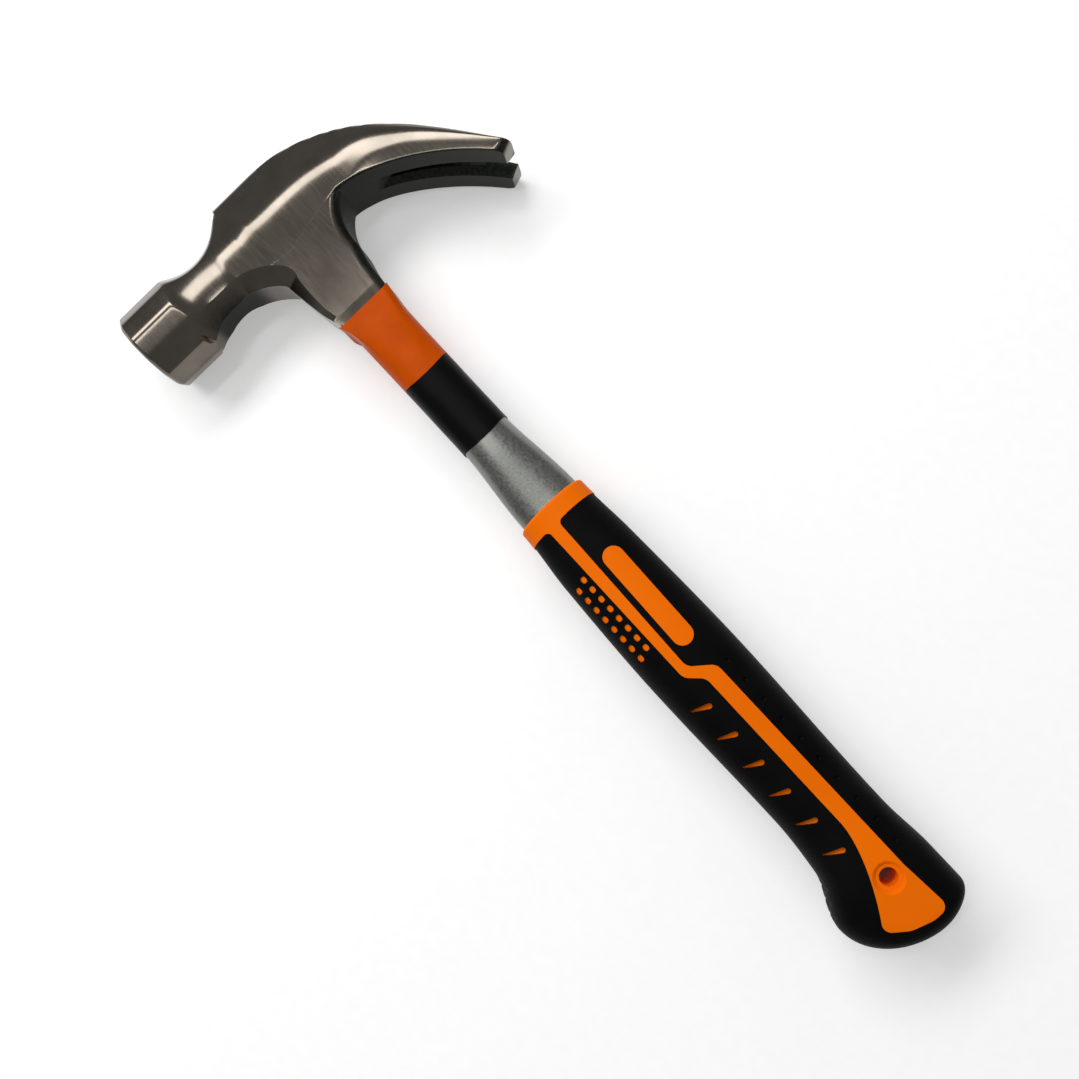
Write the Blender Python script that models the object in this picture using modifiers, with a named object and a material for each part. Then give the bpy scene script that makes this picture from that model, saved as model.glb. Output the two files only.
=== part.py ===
"""A claw hammer with a forged head, a steel tube shank and a two-shot grip, lying on its side.

The handle runs along X with the head towards +X. The striking face looks along +Y, the claws
reach along -Y, and the hammer lies on Z = 0. Lengths are metres. The head is drawn about the
datum, where the poll's axis crosses the handle, and everything on the handle is placed by its
distance down from there and its offset from the handle's centre line.
"""

import math

import bmesh
import bpy
import numpy as np
from mathutils import Vector

# Poll and neck
FACE_REACH = 0.0682
POLL_LENGTH = 0.0188
POLL_ACROSS_FLATS = 0.0317
POLL_SIDES = 12
POLL_RIM_CHAMFER = 0.0018
NECK_ACROSS = 0.0230
NECK_WAIST_AT = 0.034
NECK_FLARE_RADIUS = 0.0240
POLL_SET_BACK = 0.0006
NECK_BLEND_ABOVE = 0.0008
NECK_BLEND_BELOW = 0.0032
NECK_EASE_BELOW = 0.0065
NECK_FLAT_SHARE = 0.57
NECK_SIDE_SHARE = 0.414

# Cheeks and crown. The cheeks' handle side is hidden in the stub: it lies on the line from the
# neck's corner to the claws' root, between the two shares.
CHEEK_THICKNESS = 0.0266
CROWN_HEIGHT = 0.0200
CROWN_TOP_AT = -0.001
CROWN_CORNER_AT = 0.0166
CROWN_CORNER_HEIGHT = 0.0199
CROWN_STRIP = 0.0120
CROWN_BEVEL_DEPTH = 0.0182
CHEEK_TUCK_SHARE = 0.15
CHEEK_END_SHARE = 0.4

# Claws: a curve over them, a hollow curve under them and the cut at their tips. The root share
# is how much of the upper curve has passed where the hollow starts.
CLAW_REACH = 0.0761
CLAW_DROP = 0.0595
CLAW_TOP_ANGLE = math.radians(34)
CLAW_CROWN_SWEEP = 0.0405
CLAW_TOP_SWEEP = 0.0227
CLAW_ROOT_DEPTH = 0.0309
CLAW_ROOT_AT = 0.0206
CLAW_UNDER_ANGLE = math.radians(36)
CLAW_ROOT_SWEEP = 0.014
CLAW_UNDER_SWEEP = 0.023
CLAW_TIP_THICKNESS = 0.0084
CLAW_TIP_CUT = math.radians(50)
CLAW_TIP_ROUND = 0.0025
CLAW_WIDTH = 0.0310
CLAW_SIDE_FLAT = 0.0048
CLAW_STRIP = 0.0150
CLAW_EDGE_CHAMFER = 0.0008
CLAW_ROOT_SHARE = 0.22

# Nail slot, with a root that is round over a share of its length
SLOT_LENGTH = 0.049
SLOT_TOP_LENGTH = 0.037
SLOT_ROOT_WIDTH = 0.0036
SLOT_MOUTH_WIDTH = 0.0084
SLOT_UNDER_BEVEL = 0.0012
SLOT_BEVEL_DEPTH = 0.0030
SLOT_ROUND_SHARE = 0.04
SLOT_ROUND_START = 0.1

# Stub of the head, its weld and the spigot inside the tube
STUB_LENGTH = 0.050
STUB_TAPER_AT = 0.016
STUB_SHOULDER = 0.0152
STUB_SHOULDER_LOW = 0.0130
STUB_SHOULDER_END = 0.0370
STUB_FACE_END = 0.0490
STUB_CLAW_SIDE = 0.0132
STUB_CLAW_LOW = 0.0114
STUB_CLAW_END = 0.0580
STUB_CLAW_FILLET = 0.020
STUB_CLAW_FILLET_END = 0.027
STUB_LABEL_FACE = 0.0112
STUB_LABEL_CLAW = 0.0108
STUB_EDGE_CHAMFER = 0.0026
STUB_STEP = 0.00015
WELD_WIDTH = 0.0024
SPIGOT_LENGTH = 0.018
STUB_BURIED = 0.0063

# Shank tube
SHANK_TOP_WIDTH = 0.0195
SHANK_TOP_THICKNESS = 0.0180
SHANK_WAIST_AT = 0.105
SHANK_WAIST_WIDTH = 0.0190
SHANK_COLLAR_WIDTH = 0.0240
SHANK_COLLAR_THICKNESS = 0.0148
SHANK_BURIED_AT = 0.157
SHANK_BURIED_WIDTH = 0.0206
SHANK_END_AT = 0.284
TUBE_WALL = 0.0020
HANDLE_LEAN = math.radians(0.72)
LEAN_FROM = 0.028

# Label, which starts on the stub above the weld
LABEL_LAP = 0.0061
LABEL_AT = STUB_LENGTH - LABEL_LAP
LABEL_LENGTH = 0.0643
LABEL_FILM = 0.0003
LABEL_TOP_ARC = 0.0032
LABEL_LOW_ARC = 0.0019

# Grip
GRIP_AT = 0.1417
GRIP_END_AT = 0.3217
COLLAR_LENGTH = 0.0068
COLLAR_WALL = 0.0010
COLLAR_COVER = 0.0041
COLLAR_LIP = 0.0010
COLLAR_PROUD = 0.0003
SHOULDER_AT = 0.166
SHOULDER_FACE_COVER = 0.0050
SHOULDER_CLAW_COVER = 0.0042
SWELL_AT = 0.212
SWELL_FACE_COVER = 0.0065
SWELL_CLAW_COVER = 0.0051
SWELL_TOP_COVER = 0.0057
WAIST_AT = 0.266
WAIST_FACE_COVER = 0.0058
WAIST_CLAW_AT = 0.284
WAIST_CLAW_COVER = 0.0035
WAIST_TOP_COVER = 0.0051
HEEL_BEND_AT = 0.286
HEEL_BEND_REACH = 0.0177
HEEL_AT = 0.303
HEEL_FACE_REACH = 0.0242
HEEL_CLAW_REACH = 0.0150
HEEL_THICKNESS = 0.0290
BUTT_ROUND_CLAW = 0.0060
BUTT_EDGE_ROUND = 0.0070
BUTT_APEX_OFFSET = 0.0015
SLEEVE_THICKNESS = 0.0026
SLEEVE_COLLAR_THICKNESS = 0.0011
SLEEVE_FULL_AT = 0.168
ORANGE_PROUD = 0.00015

# Plug in the lower end of the tube
PLUG_LENGTH = 0.012
PLUG_FLANGE = 0.0016

# Orange areas: stripe from the collar, band below it, butt panel, oval pad, dots and slits
STRIPE_WIDTH = 0.0046
STRIPE_WIDTH_LOW = 0.0032
STRIPE_OFFSET = 0.0039
STRIPE_OFFSET_LOW = 0.0047
DOGLEG_AT = 0.2130
DOGLEG_LENGTH = 0.0050
DOGLEG_LEAD = 0.0019
BAND_WIDTH = 0.0055
BAND_OFFSET = 0.0017
PANEL_AT = 0.278
PANEL_CORNER_AT = 0.3092
PANEL_SLANT_AT = 0.3139
PANEL_END_AT = 0.3168
PANEL_FACE_REACH = 0.0139
PANEL_SLANT_REACH = 0.0076
PANEL_CLAW_REACH = 0.0062
PANEL_FLARE_POWER = 1.6
CORNER_ROUND = 0.0020
PAD_AT = 0.166
PAD_LENGTH = 0.0414
PAD_WIDTH = 0.0073
PAD_OFFSET = 0.0039
PAD_OFFSET_LOW = 0.0029
DOT_COUNT = 8
DOT_SIDES = 6
DOT_ACROSS = 0.0022
DOT_AT = 0.1683
DOT_PITCH = 0.00423
DOT_ROW_OFFSET = 0.0085
DOT_ROW_GAP = 0.0037
DOT_STAGGER = 0.0014
SLIT_COUNT = 6
SLIT_AT = 0.2258
SLIT_PITCH = 0.0119
SLIT_LENGTH = 0.0074
SLIT_WIDTH = 0.0019
SLIT_OFFSET = 0.0053
SLIT_SLANT = math.radians(24)
SLIT_DEPTH = 0.0012

# Hang hole with a shallow round recess on both faces
HANG_HOLE_AT = 0.2985
HANG_HOLE_OFFSET = 0.0015
HANG_HOLE_ACROSS = 0.0066
HANG_RECESS_ACROSS = 0.0107
HANG_RECESS_DEPTH = 0.0012

# Gap between touching pieces, and how far a cutter reaches past what it cuts
GAP = 0.0003
REACH = 0.005

# How finely round surfaces are stepped
HEAD_RING = 48
HANDLE_RING = 24
CLAW_STEPS = 13
NECK_STEPS = 8
HOLE_SIDES = 24
TIP_STEP_SHARE = 0.3
SLOT_STEP_SHARE = 0.3
LABEL_RING_SHARES = (0.0, 0.06, 0.14, 0.5, 1.0)

# How square the ovals are: a plain ellipse has a power of two
OVAL_POWER = 2.3
HEEL_POWER = 2.8

PARTS = "claw_hammer"
CUTTERS = "claw_hammer_cutters"

POLL_CORNER_RADIUS = POLL_ACROSS_FLATS / 2 / math.cos(math.pi / POLL_SIDES)
TOTAL_LENGTH = CROWN_HEIGHT + GRIP_END_AT
DATUM = Vector((
    GRIP_END_AT - TOTAL_LENGTH / 2,
    (CLAW_REACH - FACE_REACH) / 2,
    POLL_CORNER_RADIUS,
))


def clear_scene():
    for thing in list(bpy.data.objects):
        bpy.data.objects.remove(thing, do_unlink=True)


def new_collection(name):
    group = bpy.data.collections.new(name)
    bpy.context.scene.collection.children.link(group)
    return group


def new_material(name, colour, roughness, metallic=0.0):
    material = bpy.data.materials.new(name)
    material.use_nodes = True
    shader = material.node_tree.nodes["Principled BSDF"]
    shader.inputs["Base Color"].default_value = (*colour, 1.0)
    shader.inputs["Roughness"].default_value = roughness
    shader.inputs["Metallic"].default_value = metallic
    material.diffuse_color = (*colour, 1.0)
    return material


def blend(share, first, last):
    return first + (last - first) * share


def eased(at, knots):
    """Smooth curve through (place, value) knots, with no overshoot between them."""
    places, values = np.array(knots, float).T
    at = float(np.clip(at, places[0], places[-1]))
    slopes = np.diff(values) / np.diff(places)
    tangents = np.zeros(len(values))
    for i in range(1, len(values) - 1):
        if slopes[i - 1] * slopes[i] > 0:
            tangents[i] = 2 * slopes[i - 1] * slopes[i] / (slopes[i - 1] + slopes[i])
    i = min(int(np.searchsorted(places, at, side="right")) - 1, len(slopes) - 1)
    span = places[i + 1] - places[i]
    t = (at - places[i]) / span
    return ((1 + 2 * t) * (1 - t) ** 2 * values[i] + t * (1 - t) ** 2 * span * tangents[i]
            + t * t * (3 - 2 * t) * values[i + 1] + t * t * (t - 1) * span * tangents[i + 1])


def bezier(t, points):
    """Point of a cubic curve with four control points, at share t of the way."""
    a, b, c, d = (np.array(p, float) for p in points)
    return (1 - t) ** 3 * a + 3 * (1 - t) ** 2 * t * b + 3 * (1 - t) * t * t * c + t ** 3 * d


def place(obj, collection, parent):
    collection.objects.link(obj)
    obj.parent = parent
    return obj


def mesh_object(name, points, faces):
    """Object of a hand-built closed surface, with its faces cut into triangles."""
    mesh = bpy.data.meshes.new(name)
    mesh.from_pydata([tuple(p) for p in points], [], faces)
    built = bmesh.new()
    built.from_mesh(mesh)
    bmesh.ops.triangulate(built, faces=built.faces)
    bmesh.ops.recalc_face_normals(built, faces=built.faces)
    built.to_mesh(mesh)
    built.free()
    return bpy.data.objects.new(name, mesh)


def loft(name, rings, capped=True):
    """Skin over rings of equally many points, closed at both ends when capped."""
    count = len(rings[0])
    points = [p for ring in rings for p in ring]
    faces = []
    for row in range(len(rings) - 1):
        for k in range(count):
            low, high = row * count, (row + 1) * count
            following = (k + 1) % count
            faces.append((low + k, low + following, high + following, high + k))
    if capped:
        faces.append(tuple(range(count))[::-1])
        faces.append(tuple(range(len(points) - count, len(points))))
    return mesh_object(name, points, faces)


def prism(name, outline, low, high):
    """Solid of a flat outline in XY, from height low to height high."""
    count = len(outline)
    points = [(x, y, z) for z in (low, high) for x, y in outline]
    faces = [tuple(range(count))[::-1], tuple(range(count, 2 * count))]
    for k in range(count):
        following = (k + 1) % count
        faces.append((k, following, count + following, count + k))
    return mesh_object(name, points, faces)


def joined(name, objects):
    """One object that holds the separate bodies of several."""
    built = bmesh.new()
    for obj in objects:
        built.from_mesh(obj.data)
        bpy.data.objects.remove(obj, do_unlink=True)
    mesh = bpy.data.meshes.new(name)
    built.to_mesh(mesh)
    built.free()
    return bpy.data.objects.new(name, mesh)


def boolean(target, tool, operation):
    step = target.modifiers.new(f"{operation.lower()} {tool.name}", "BOOLEAN")
    step.operation = operation
    step.solver = "EXACT"
    step.object = tool


def shell(obj, wall):
    """Wall of even thickness, inwards from an open surface."""
    solid = obj.modifiers.new("wall", "SOLIDIFY")
    solid.thickness = wall
    solid.offset = -1.0
    solid.use_even_offset = True
    return obj


def soften(obj, angle=35):
    obj.data.shade_smooth()
    obj.data.set_sharp_from_angle(angle=math.radians(angle))


# Head

def neck_half(at):
    """Half width of the neck at a distance towards the face: an arc on each side of the waist."""
    off = min(abs(at - NECK_WAIST_AT), NECK_FLARE_RADIUS * 0.99)
    return NECK_ACROSS / 2 + NECK_FLARE_RADIUS - math.sqrt(NECK_FLARE_RADIUS ** 2 - off ** 2)


def polygon_facets(sides, distance, first):
    turns = [first + 2 * math.pi * k / sides for k in range(sides)]
    return [(math.cos(t), math.sin(t), distance) for t in turns]


def facet_through(start, end):
    """Facet (normal and distance) through two points of the section's upper half."""
    (u0, z0), (u1, z1) = start, end
    nu, nz = z1 - z0, u0 - u1
    size = math.hypot(nu, nz)
    nu, nz = nu / size, nz / size
    return [(nu, nz, nu * u0 + nz * z0), (nu, -nz, nu * u0 + nz * z0)]


def section(outer, inner, facets, half_thickness):
    """Ring where every direction from the chord's middle meets its nearest facet."""
    outer, inner = np.array(outer), np.array(inner)
    middle = (outer + inner) / 2
    depth = np.linalg.norm(outer - inner) / 2
    along = (outer - inner) / (2 * depth)
    ring = []
    for k in range(HEAD_RING):
        turn = 2 * math.pi * k / HEAD_RING
        u, z = depth * math.cos(turn), half_thickness * math.sin(turn)
        reach = min(d / (nu * u + nz * z) for nu, nz, d in facets if nu * u + nz * z > 1e-9)
        x, y = middle + along * u * reach
        ring.append((x, y, z * reach))
    return ring


def poll_section(at, inset):
    facets = polygon_facets(POLL_SIDES, POLL_ACROSS_FLATS / 2 - inset, math.pi / POLL_SIDES)
    half, back = POLL_CORNER_RADIUS, POLL_SET_BACK
    return section((half - back, at), (-half - back, at), facets, half)


def neck_section(at):
    """The eight-sided flare of the neck, held inside the poll, the cheeks and the crown bevel."""
    half, back = neck_half(at), POLL_SET_BACK
    flat, side = NECK_FLAT_SHARE * half, NECK_SIDE_SHARE * half
    facets = polygon_facets(4, half, 0.0)
    facets += facet_through((half, side), (flat, half)) + facet_through((-flat, half), (-half, side))
    if at > NECK_WAIST_AT:
        facets += polygon_facets(POLL_SIDES, POLL_ACROSS_FLATS / 2, math.pi / POLL_SIDES)
    else:
        cheek = CHEEK_THICKNESS / 2
        facets += [(0.0, 1.0, cheek), (0.0, -1.0, cheek)]
        facets += facet_through((CROWN_HEIGHT + back, CROWN_STRIP / 2),
                                (CROWN_HEIGHT + back - CROWN_BEVEL_DEPTH, cheek))
    return section((half - back, at), (-half - back, at), facets, half)


def claw_section(outer, inner, share, rounding=0.0):
    """Cheek or claw section between the crown curve and the under curve."""
    outer, inner = np.array(outer), np.array(inner)
    depth = np.linalg.norm(outer - inner) / 2
    thick = blend(share, CHEEK_THICKNESS, CLAW_WIDTH) / 2 - rounding
    strip = blend(share, CROWN_STRIP, CLAW_STRIP) / 2 - rounding / 2
    bevel = min(CROWN_BEVEL_DEPTH, 2 * depth - CLAW_SIDE_FLAT)
    edge = CLAW_EDGE_CHAMFER
    facets = [(1.0, 0.0, depth), (-1.0, 0.0, depth), (0.0, 1.0, thick), (0.0, -1.0, thick)]
    facets += facet_through((depth, strip), (depth - bevel, thick))
    facets += facet_through((edge - depth, thick), (-depth, thick - edge))
    return section(outer, inner, facets, thick)


def crown_points():
    tip = (CROWN_HEIGHT - CLAW_DROP, -CLAW_REACH)
    return ((CROWN_HEIGHT, CROWN_TOP_AT),
            (CROWN_HEIGHT, CROWN_TOP_AT - CLAW_CROWN_SWEEP),
            (tip[0] + CLAW_TOP_SWEEP * math.cos(CLAW_TOP_ANGLE),
             tip[1] + CLAW_TOP_SWEEP * math.sin(CLAW_TOP_ANGLE)),
            tip)


def under_points():
    top_tip = crown_points()[3]
    root = (CROWN_HEIGHT - CLAW_ROOT_DEPTH, -CLAW_ROOT_AT)
    tip = (top_tip[0] - CLAW_TIP_THICKNESS * math.cos(CLAW_TIP_CUT),
           top_tip[1] + CLAW_TIP_THICKNESS * math.sin(CLAW_TIP_CUT))
    return (root,
            (root[0], root[1] - CLAW_ROOT_SWEEP),
            (tip[0] + CLAW_UNDER_SWEEP * math.cos(CLAW_UNDER_ANGLE),
             tip[1] + CLAW_UNDER_SWEEP * math.sin(CLAW_UNDER_ANGLE)),
            tip)


def head_body():
    """Poll, neck, cheeks and both claws in one skin, before the slot is cut."""
    face = FACE_REACH
    shoulder = FACE_REACH - POLL_LENGTH
    rings = [poll_section(face, POLL_RIM_CHAMFER), poll_section(face - POLL_RIM_CHAMFER, 0.0)]
    half_steps = NECK_STEPS // 2
    neck_places = list(np.linspace(shoulder + NECK_BLEND_ABOVE, shoulder - NECK_BLEND_BELOW, half_steps + 1))
    neck_places += list(np.linspace(shoulder - NECK_EASE_BELOW, NECK_WAIST_AT, half_steps))
    neck_places += list(np.linspace(NECK_WAIST_AT, CROWN_CORNER_AT, NECK_STEPS))[1:]
    rings += [neck_section(at) for at in neck_places]
    crown, under = crown_points(), under_points()
    corner = np.array((CROWN_CORNER_HEIGHT, CROWN_CORNER_AT - GAP))
    far_corner = np.array((-neck_half(CROWN_CORNER_AT) - POLL_SET_BACK, CROWN_CORNER_AT - GAP))
    top, root = np.array(crown[0]), np.array(under[0])
    for share in (0.0, 0.5, 1.0):
        tuck = blend(share, CHEEK_TUCK_SHARE, CHEEK_END_SHARE)
        rings.append(claw_section(blend(share, corner, top), blend(tuck, far_corner, root), 0.0))
    tip_round = CLAW_TIP_ROUND / CLAW_REACH
    claw_places = list(np.linspace(0, 1 - tip_round, CLAW_STEPS + 1)[1:])
    for share in claw_places + [1 - TIP_STEP_SHARE * tip_round, 1.0]:
        if share < CLAW_ROOT_SHARE:
            inner = blend(blend(share / CLAW_ROOT_SHARE, CHEEK_END_SHARE, 1.0), far_corner, root)
        else:
            inner = bezier((share - CLAW_ROOT_SHARE) / (1 - CLAW_ROOT_SHARE), under)
        into_tip = max(0.0, (share - 1 + tip_round) / tip_round)
        rounding = CLAW_TIP_ROUND * (1 - math.sqrt(1 - into_tip ** 2))
        rings.append(claw_section(bezier(share, crown), inner, share, rounding))
    return loft("head", rings)


def oval(centre, face_reach, claw_reach, half_thickness, power, count):
    """Rounded ring across the handle: a superellipse with its own reach on each side."""
    x, y = centre
    ring = []
    for k in range(count):
        turn = 2 * math.pi * k / count
        c, s = math.cos(turn), math.sin(turn)
        across = math.copysign(abs(c) ** (2 / power), c) * (face_reach if c > 0 else claw_reach)
        ring.append((x, y + across, math.copysign(abs(s) ** (2 / power), s) * half_thickness))
    return ring


def on_handle(down, across=0.0):
    """Place on the handle: so far down from the datum, so far towards the striking face."""
    return (-down, (down - LEAN_FROM) * math.tan(HANDLE_LEAN) + across)


def shank_sizes(down):
    """Reach to each side and half thickness of the steel, from the stub to the tube's end."""
    tube = ((SHANK_WAIST_AT, SHANK_WAIST_WIDTH / 2), (GRIP_AT, SHANK_COLLAR_WIDTH / 2),
            (SHANK_BURIED_AT, SHANK_BURIED_WIDTH / 2))
    face = eased(down, ((STUB_TAPER_AT, STUB_SHOULDER), (STUB_SHOULDER_END, STUB_SHOULDER_LOW),
                        (LABEL_AT, STUB_LABEL_FACE), (STUB_FACE_END, SHANK_TOP_WIDTH / 2)) + tube)
    claw = eased(down, ((STUB_CLAW_FILLET_END, STUB_CLAW_SIDE), (STUB_SHOULDER_END, STUB_CLAW_LOW),
                        (LABEL_AT, STUB_LABEL_CLAW), (STUB_CLAW_END, SHANK_TOP_WIDTH / 2)) + tube)
    into_fillet = max(0.0, STUB_CLAW_FILLET_END - down)
    claw += STUB_CLAW_FILLET - math.sqrt(STUB_CLAW_FILLET ** 2 - into_fillet ** 2)
    thick = eased(down, ((STUB_TAPER_AT, CHEEK_THICKNESS / 2 - STUB_STEP),
                         (LABEL_AT, SHANK_TOP_THICKNESS / 2), (SHANK_WAIST_AT, SHANK_TOP_THICKNESS / 2),
                         (GRIP_AT, SHANK_COLLAR_THICKNESS / 2)))
    return face, claw, thick


def shank_ring(down, offset=0.0, count=HANDLE_RING, arc=0.0):
    """Oval ring of the shank, with both flats' middles further down by the arc."""
    face, claw, thick = shank_sizes(down)
    half = (face + claw) / 2 + offset
    ring = oval(on_handle(down, (face - claw) / 2), half, half, thick + offset, OVAL_POWER, count)
    return [(x - arc * (z / (thick + offset)) ** 2, y, z) for x, y, z in ring]


def shank_places(start):
    """Distances down the tube, closer together where it widens and is squeezed again."""
    places = [STUB_CLAW_END] + list(np.linspace(SHANK_WAIST_AT, SHANK_BURIED_AT, 9)) + [SHANK_END_AT]
    return [start] + [down for down in places if down > start]


def stub_ring(down):
    """Flat-sided section of the stub, turning into the shank's oval by the label's edge."""
    face, claw, thick = shank_sizes(down)
    outer, inner = np.array(on_handle(down, face)), np.array(on_handle(down, -claw))
    depth = (face + claw) / 2
    edge, far_edge = STUB_EDGE_CHAMFER, STUB_EDGE_CHAMFER / 2
    facets = [(1.0, 0.0, depth), (-1.0, 0.0, depth), (0.0, 1.0, thick), (0.0, -1.0, thick)]
    facets += facet_through((depth, thick - 2 * edge), (depth - edge, thick))
    facets += facet_through((far_edge - depth, thick), (-depth, thick - far_edge))
    flat = np.array(section(outer, inner, facets, thick))
    round_ring = np.array(shank_ring(down, 0.0, HEAD_RING))
    rounding = np.clip((down - STUB_SHOULDER_END) / (LABEL_AT - STUB_SHOULDER_END), 0, 1)
    return [tuple(p) for p in blend(rounding, flat, round_ring)]


def head_stub():
    """Stub towards the handle and the spigot that goes into the tube."""
    root = CLAW_ROOT_DEPTH - CROWN_HEIGHT
    places = list(np.linspace(root, STUB_CLAW_FILLET_END, 7))
    places += list(np.linspace(STUB_CLAW_FILLET_END, STUB_SHOULDER_END, 4))[1:]
    places += list(np.linspace(STUB_SHOULDER_END, LABEL_AT, 4))[1:]
    rings = [[(x + STUB_BURIED, y, z) for x, y, z in stub_ring(root)]]
    rings += [stub_ring(down) for down in places]
    rings += [shank_ring(down, 0.0, HEAD_RING) for down in (blend(0.5, LABEL_AT, STUB_LENGTH), STUB_LENGTH)]
    spigot_end = STUB_LENGTH + SPIGOT_LENGTH
    buried = [down for down in shank_places(STUB_LENGTH + WELD_WIDTH) if down < spigot_end]
    for down in [STUB_LENGTH] + buried + [spigot_end]:
        rings.append(shank_ring(down, -TUBE_WALL - GAP, HEAD_RING))
    return loft("stub", rings)


def slot_cutter():
    """Wedge between the claws: a V from above, wider at the underside, with a rounded root."""
    crown, under = crown_points(), under_points()
    samples = np.linspace(0, 1, 201)
    lengths = []
    for curve in (crown, under):
        track = np.array([bezier(t, curve) for t in samples])
        steps = np.linalg.norm(np.diff(track, axis=0), axis=1)
        lengths.append(np.concatenate(([0], np.cumsum(steps))))
    rings = []
    run_out = REACH / SLOT_LENGTH
    shares = [0.0, SLOT_STEP_SHARE * SLOT_ROUND_SHARE, SLOT_ROUND_SHARE]
    shares += list(np.linspace(SLOT_ROUND_SHARE, 1.0, 7))[1:] + [1.0 + 2 * run_out]
    for share in shares:
        outer_at = lengths[0][-1] - SLOT_TOP_LENGTH * (1 - min(share, 1))
        inner_at = lengths[1][-1] - SLOT_LENGTH * (1 - min(share, 1))
        outer = bezier(np.interp(outer_at, lengths[0], samples), crown)
        inner = bezier(np.interp(inner_at, lengths[1], samples), under)
        if share > 1:
            ahead = -np.array((math.cos(CLAW_TOP_ANGLE), math.sin(CLAW_TOP_ANGLE)))
            outer, inner = outer + ahead * 2 * REACH, inner + ahead * 2 * REACH
        into_round = math.sqrt(1 - (1 - min(share / SLOT_ROUND_SHARE, 1)) ** 2)
        rounding = blend(into_round, SLOT_ROUND_START, 1.0)
        half = blend(min(share, 1.0), SLOT_ROOT_WIDTH, SLOT_MOUTH_WIDTH) / 2 * rounding
        across = (outer - inner) / np.linalg.norm(outer - inner)
        levels = ((outer + across * REACH, half), (inner + across * SLOT_BEVEL_DEPTH, half),
                  (inner - across * REACH, half + SLOT_UNDER_BEVEL * (1 + REACH / SLOT_BEVEL_DEPTH)))
        ring = [(*p, h) for p, h in levels] + [(*p, -h) for p, h in levels[::-1]]
        rings.append(ring)
    return loft("nail_slot_cutter", rings)


# Grip

def sleeve_depth(down):
    """Thickness of the rubber: thin at the collar, where the tube is wide, then full."""
    return eased(down, ((GRIP_AT + COLLAR_LENGTH, SLEEVE_COLLAR_THICKNESS),
                        (SLEEVE_FULL_AT, SLEEVE_THICKNESS)))


def grip_sizes(down, inset):
    """Reach to each side and half thickness of the grip, for a skin lying inset under it."""
    end = GRIP_END_AT - inset
    collar, tube = SHANK_COLLAR_WIDTH / 2 + GAP + COLLAR_WALL, SHANK_BURIED_WIDTH / 2
    face = eased(down, ((GRIP_AT, collar), (SHOULDER_AT, tube + SHOULDER_FACE_COVER),
                        (SWELL_AT, tube + SWELL_FACE_COVER),
                        (WAIST_AT, tube + WAIST_FACE_COVER), (HEEL_BEND_AT, HEEL_BEND_REACH),
                        (HEEL_AT, HEEL_FACE_REACH)))
    claw = eased(down, ((GRIP_AT, collar), (SHOULDER_AT, tube + SHOULDER_CLAW_COVER),
                        (SWELL_AT, tube + SWELL_CLAW_COVER),
                        (WAIST_CLAW_AT, tube + WAIST_CLAW_COVER), (HEEL_AT, HEEL_CLAW_REACH)))
    tube = SHANK_COLLAR_THICKNESS / 2
    thick = eased(down, ((GRIP_AT, tube + COLLAR_COVER), (SWELL_AT, tube + SWELL_TOP_COVER),
                         (WAIST_AT, tube + WAIST_TOP_COVER), (HEEL_AT, HEEL_THICKNESS / 2)))
    face_off = np.clip((down - HEEL_AT) / (end - HEEL_AT), 0, 0.999)
    claw_off = np.clip((down - end + BUTT_ROUND_CLAW) / BUTT_ROUND_CLAW, 0, 0.999)
    edge_off = np.clip((down - end + BUTT_EDGE_ROUND) / BUTT_EDGE_ROUND, 0, 0.999)
    apex = BUTT_APEX_OFFSET
    face = (face - inset + apex) * math.sqrt(1 - face_off ** 2) - apex
    claw = (claw - inset - apex) * math.sqrt(1 - claw_off ** 2) + apex
    thick = thick - inset - BUTT_EDGE_ROUND * (1 - math.sqrt(1 - edge_off ** 2))
    return face, claw, thick


def grip_ring(down, inset=0.0):
    face, claw, thick = grip_sizes(down, inset)
    power = eased(down, ((WAIST_AT, OVAL_POWER), (HEEL_AT, HEEL_POWER)))
    middle = (face - claw) / 2
    half = (face + claw) / 2
    return oval(on_handle(down, middle), half, half, thick, power, HANDLE_RING)


def grip_places(start, inset):
    """Distances down the grip, closer together where the butt turns in."""
    end = GRIP_END_AT - inset
    places = list(np.linspace(start, HEEL_AT, 13))
    turns = np.linspace(0, math.pi / 2, 6)[1:]
    return places + [HEEL_AT + (end - HEEL_AT) * math.sin(t) for t in turns]


def round_corner(before, corner, after, radius, steps=3):
    """Arc that replaces a corner of a flat outline."""
    before, corner, after = (np.array(p, float) for p in (before, corner, after))
    a, b = before - corner, after - corner
    a, b = a / np.linalg.norm(a), b / np.linalg.norm(b)
    opening = math.acos(float(np.clip(a @ b, -1, 1)))
    if radius <= 0 or opening > math.radians(176):
        return [corner]
    cut = radius / math.tan(opening / 2)
    centre = corner + (a + b) / np.linalg.norm(a + b) * radius / math.sin(opening / 2)
    start, end = corner + a * cut - centre, corner + b * cut - centre
    arc = [blend(k / steps, start, end) for k in range(steps + 1)]
    return [centre + p / np.linalg.norm(p) * radius for p in arc]


def rounded(corners):
    """Flat outline from (down, across, radius) corners, in the handle's directions."""
    flat = [(down, across) for down, across, radius in corners]
    outline = []
    for k, (down, across, radius) in enumerate(corners):
        following = flat[(k + 1) % len(flat)]
        outline += round_corner(flat[k - 1], flat[k], following, radius)
    return outline


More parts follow.
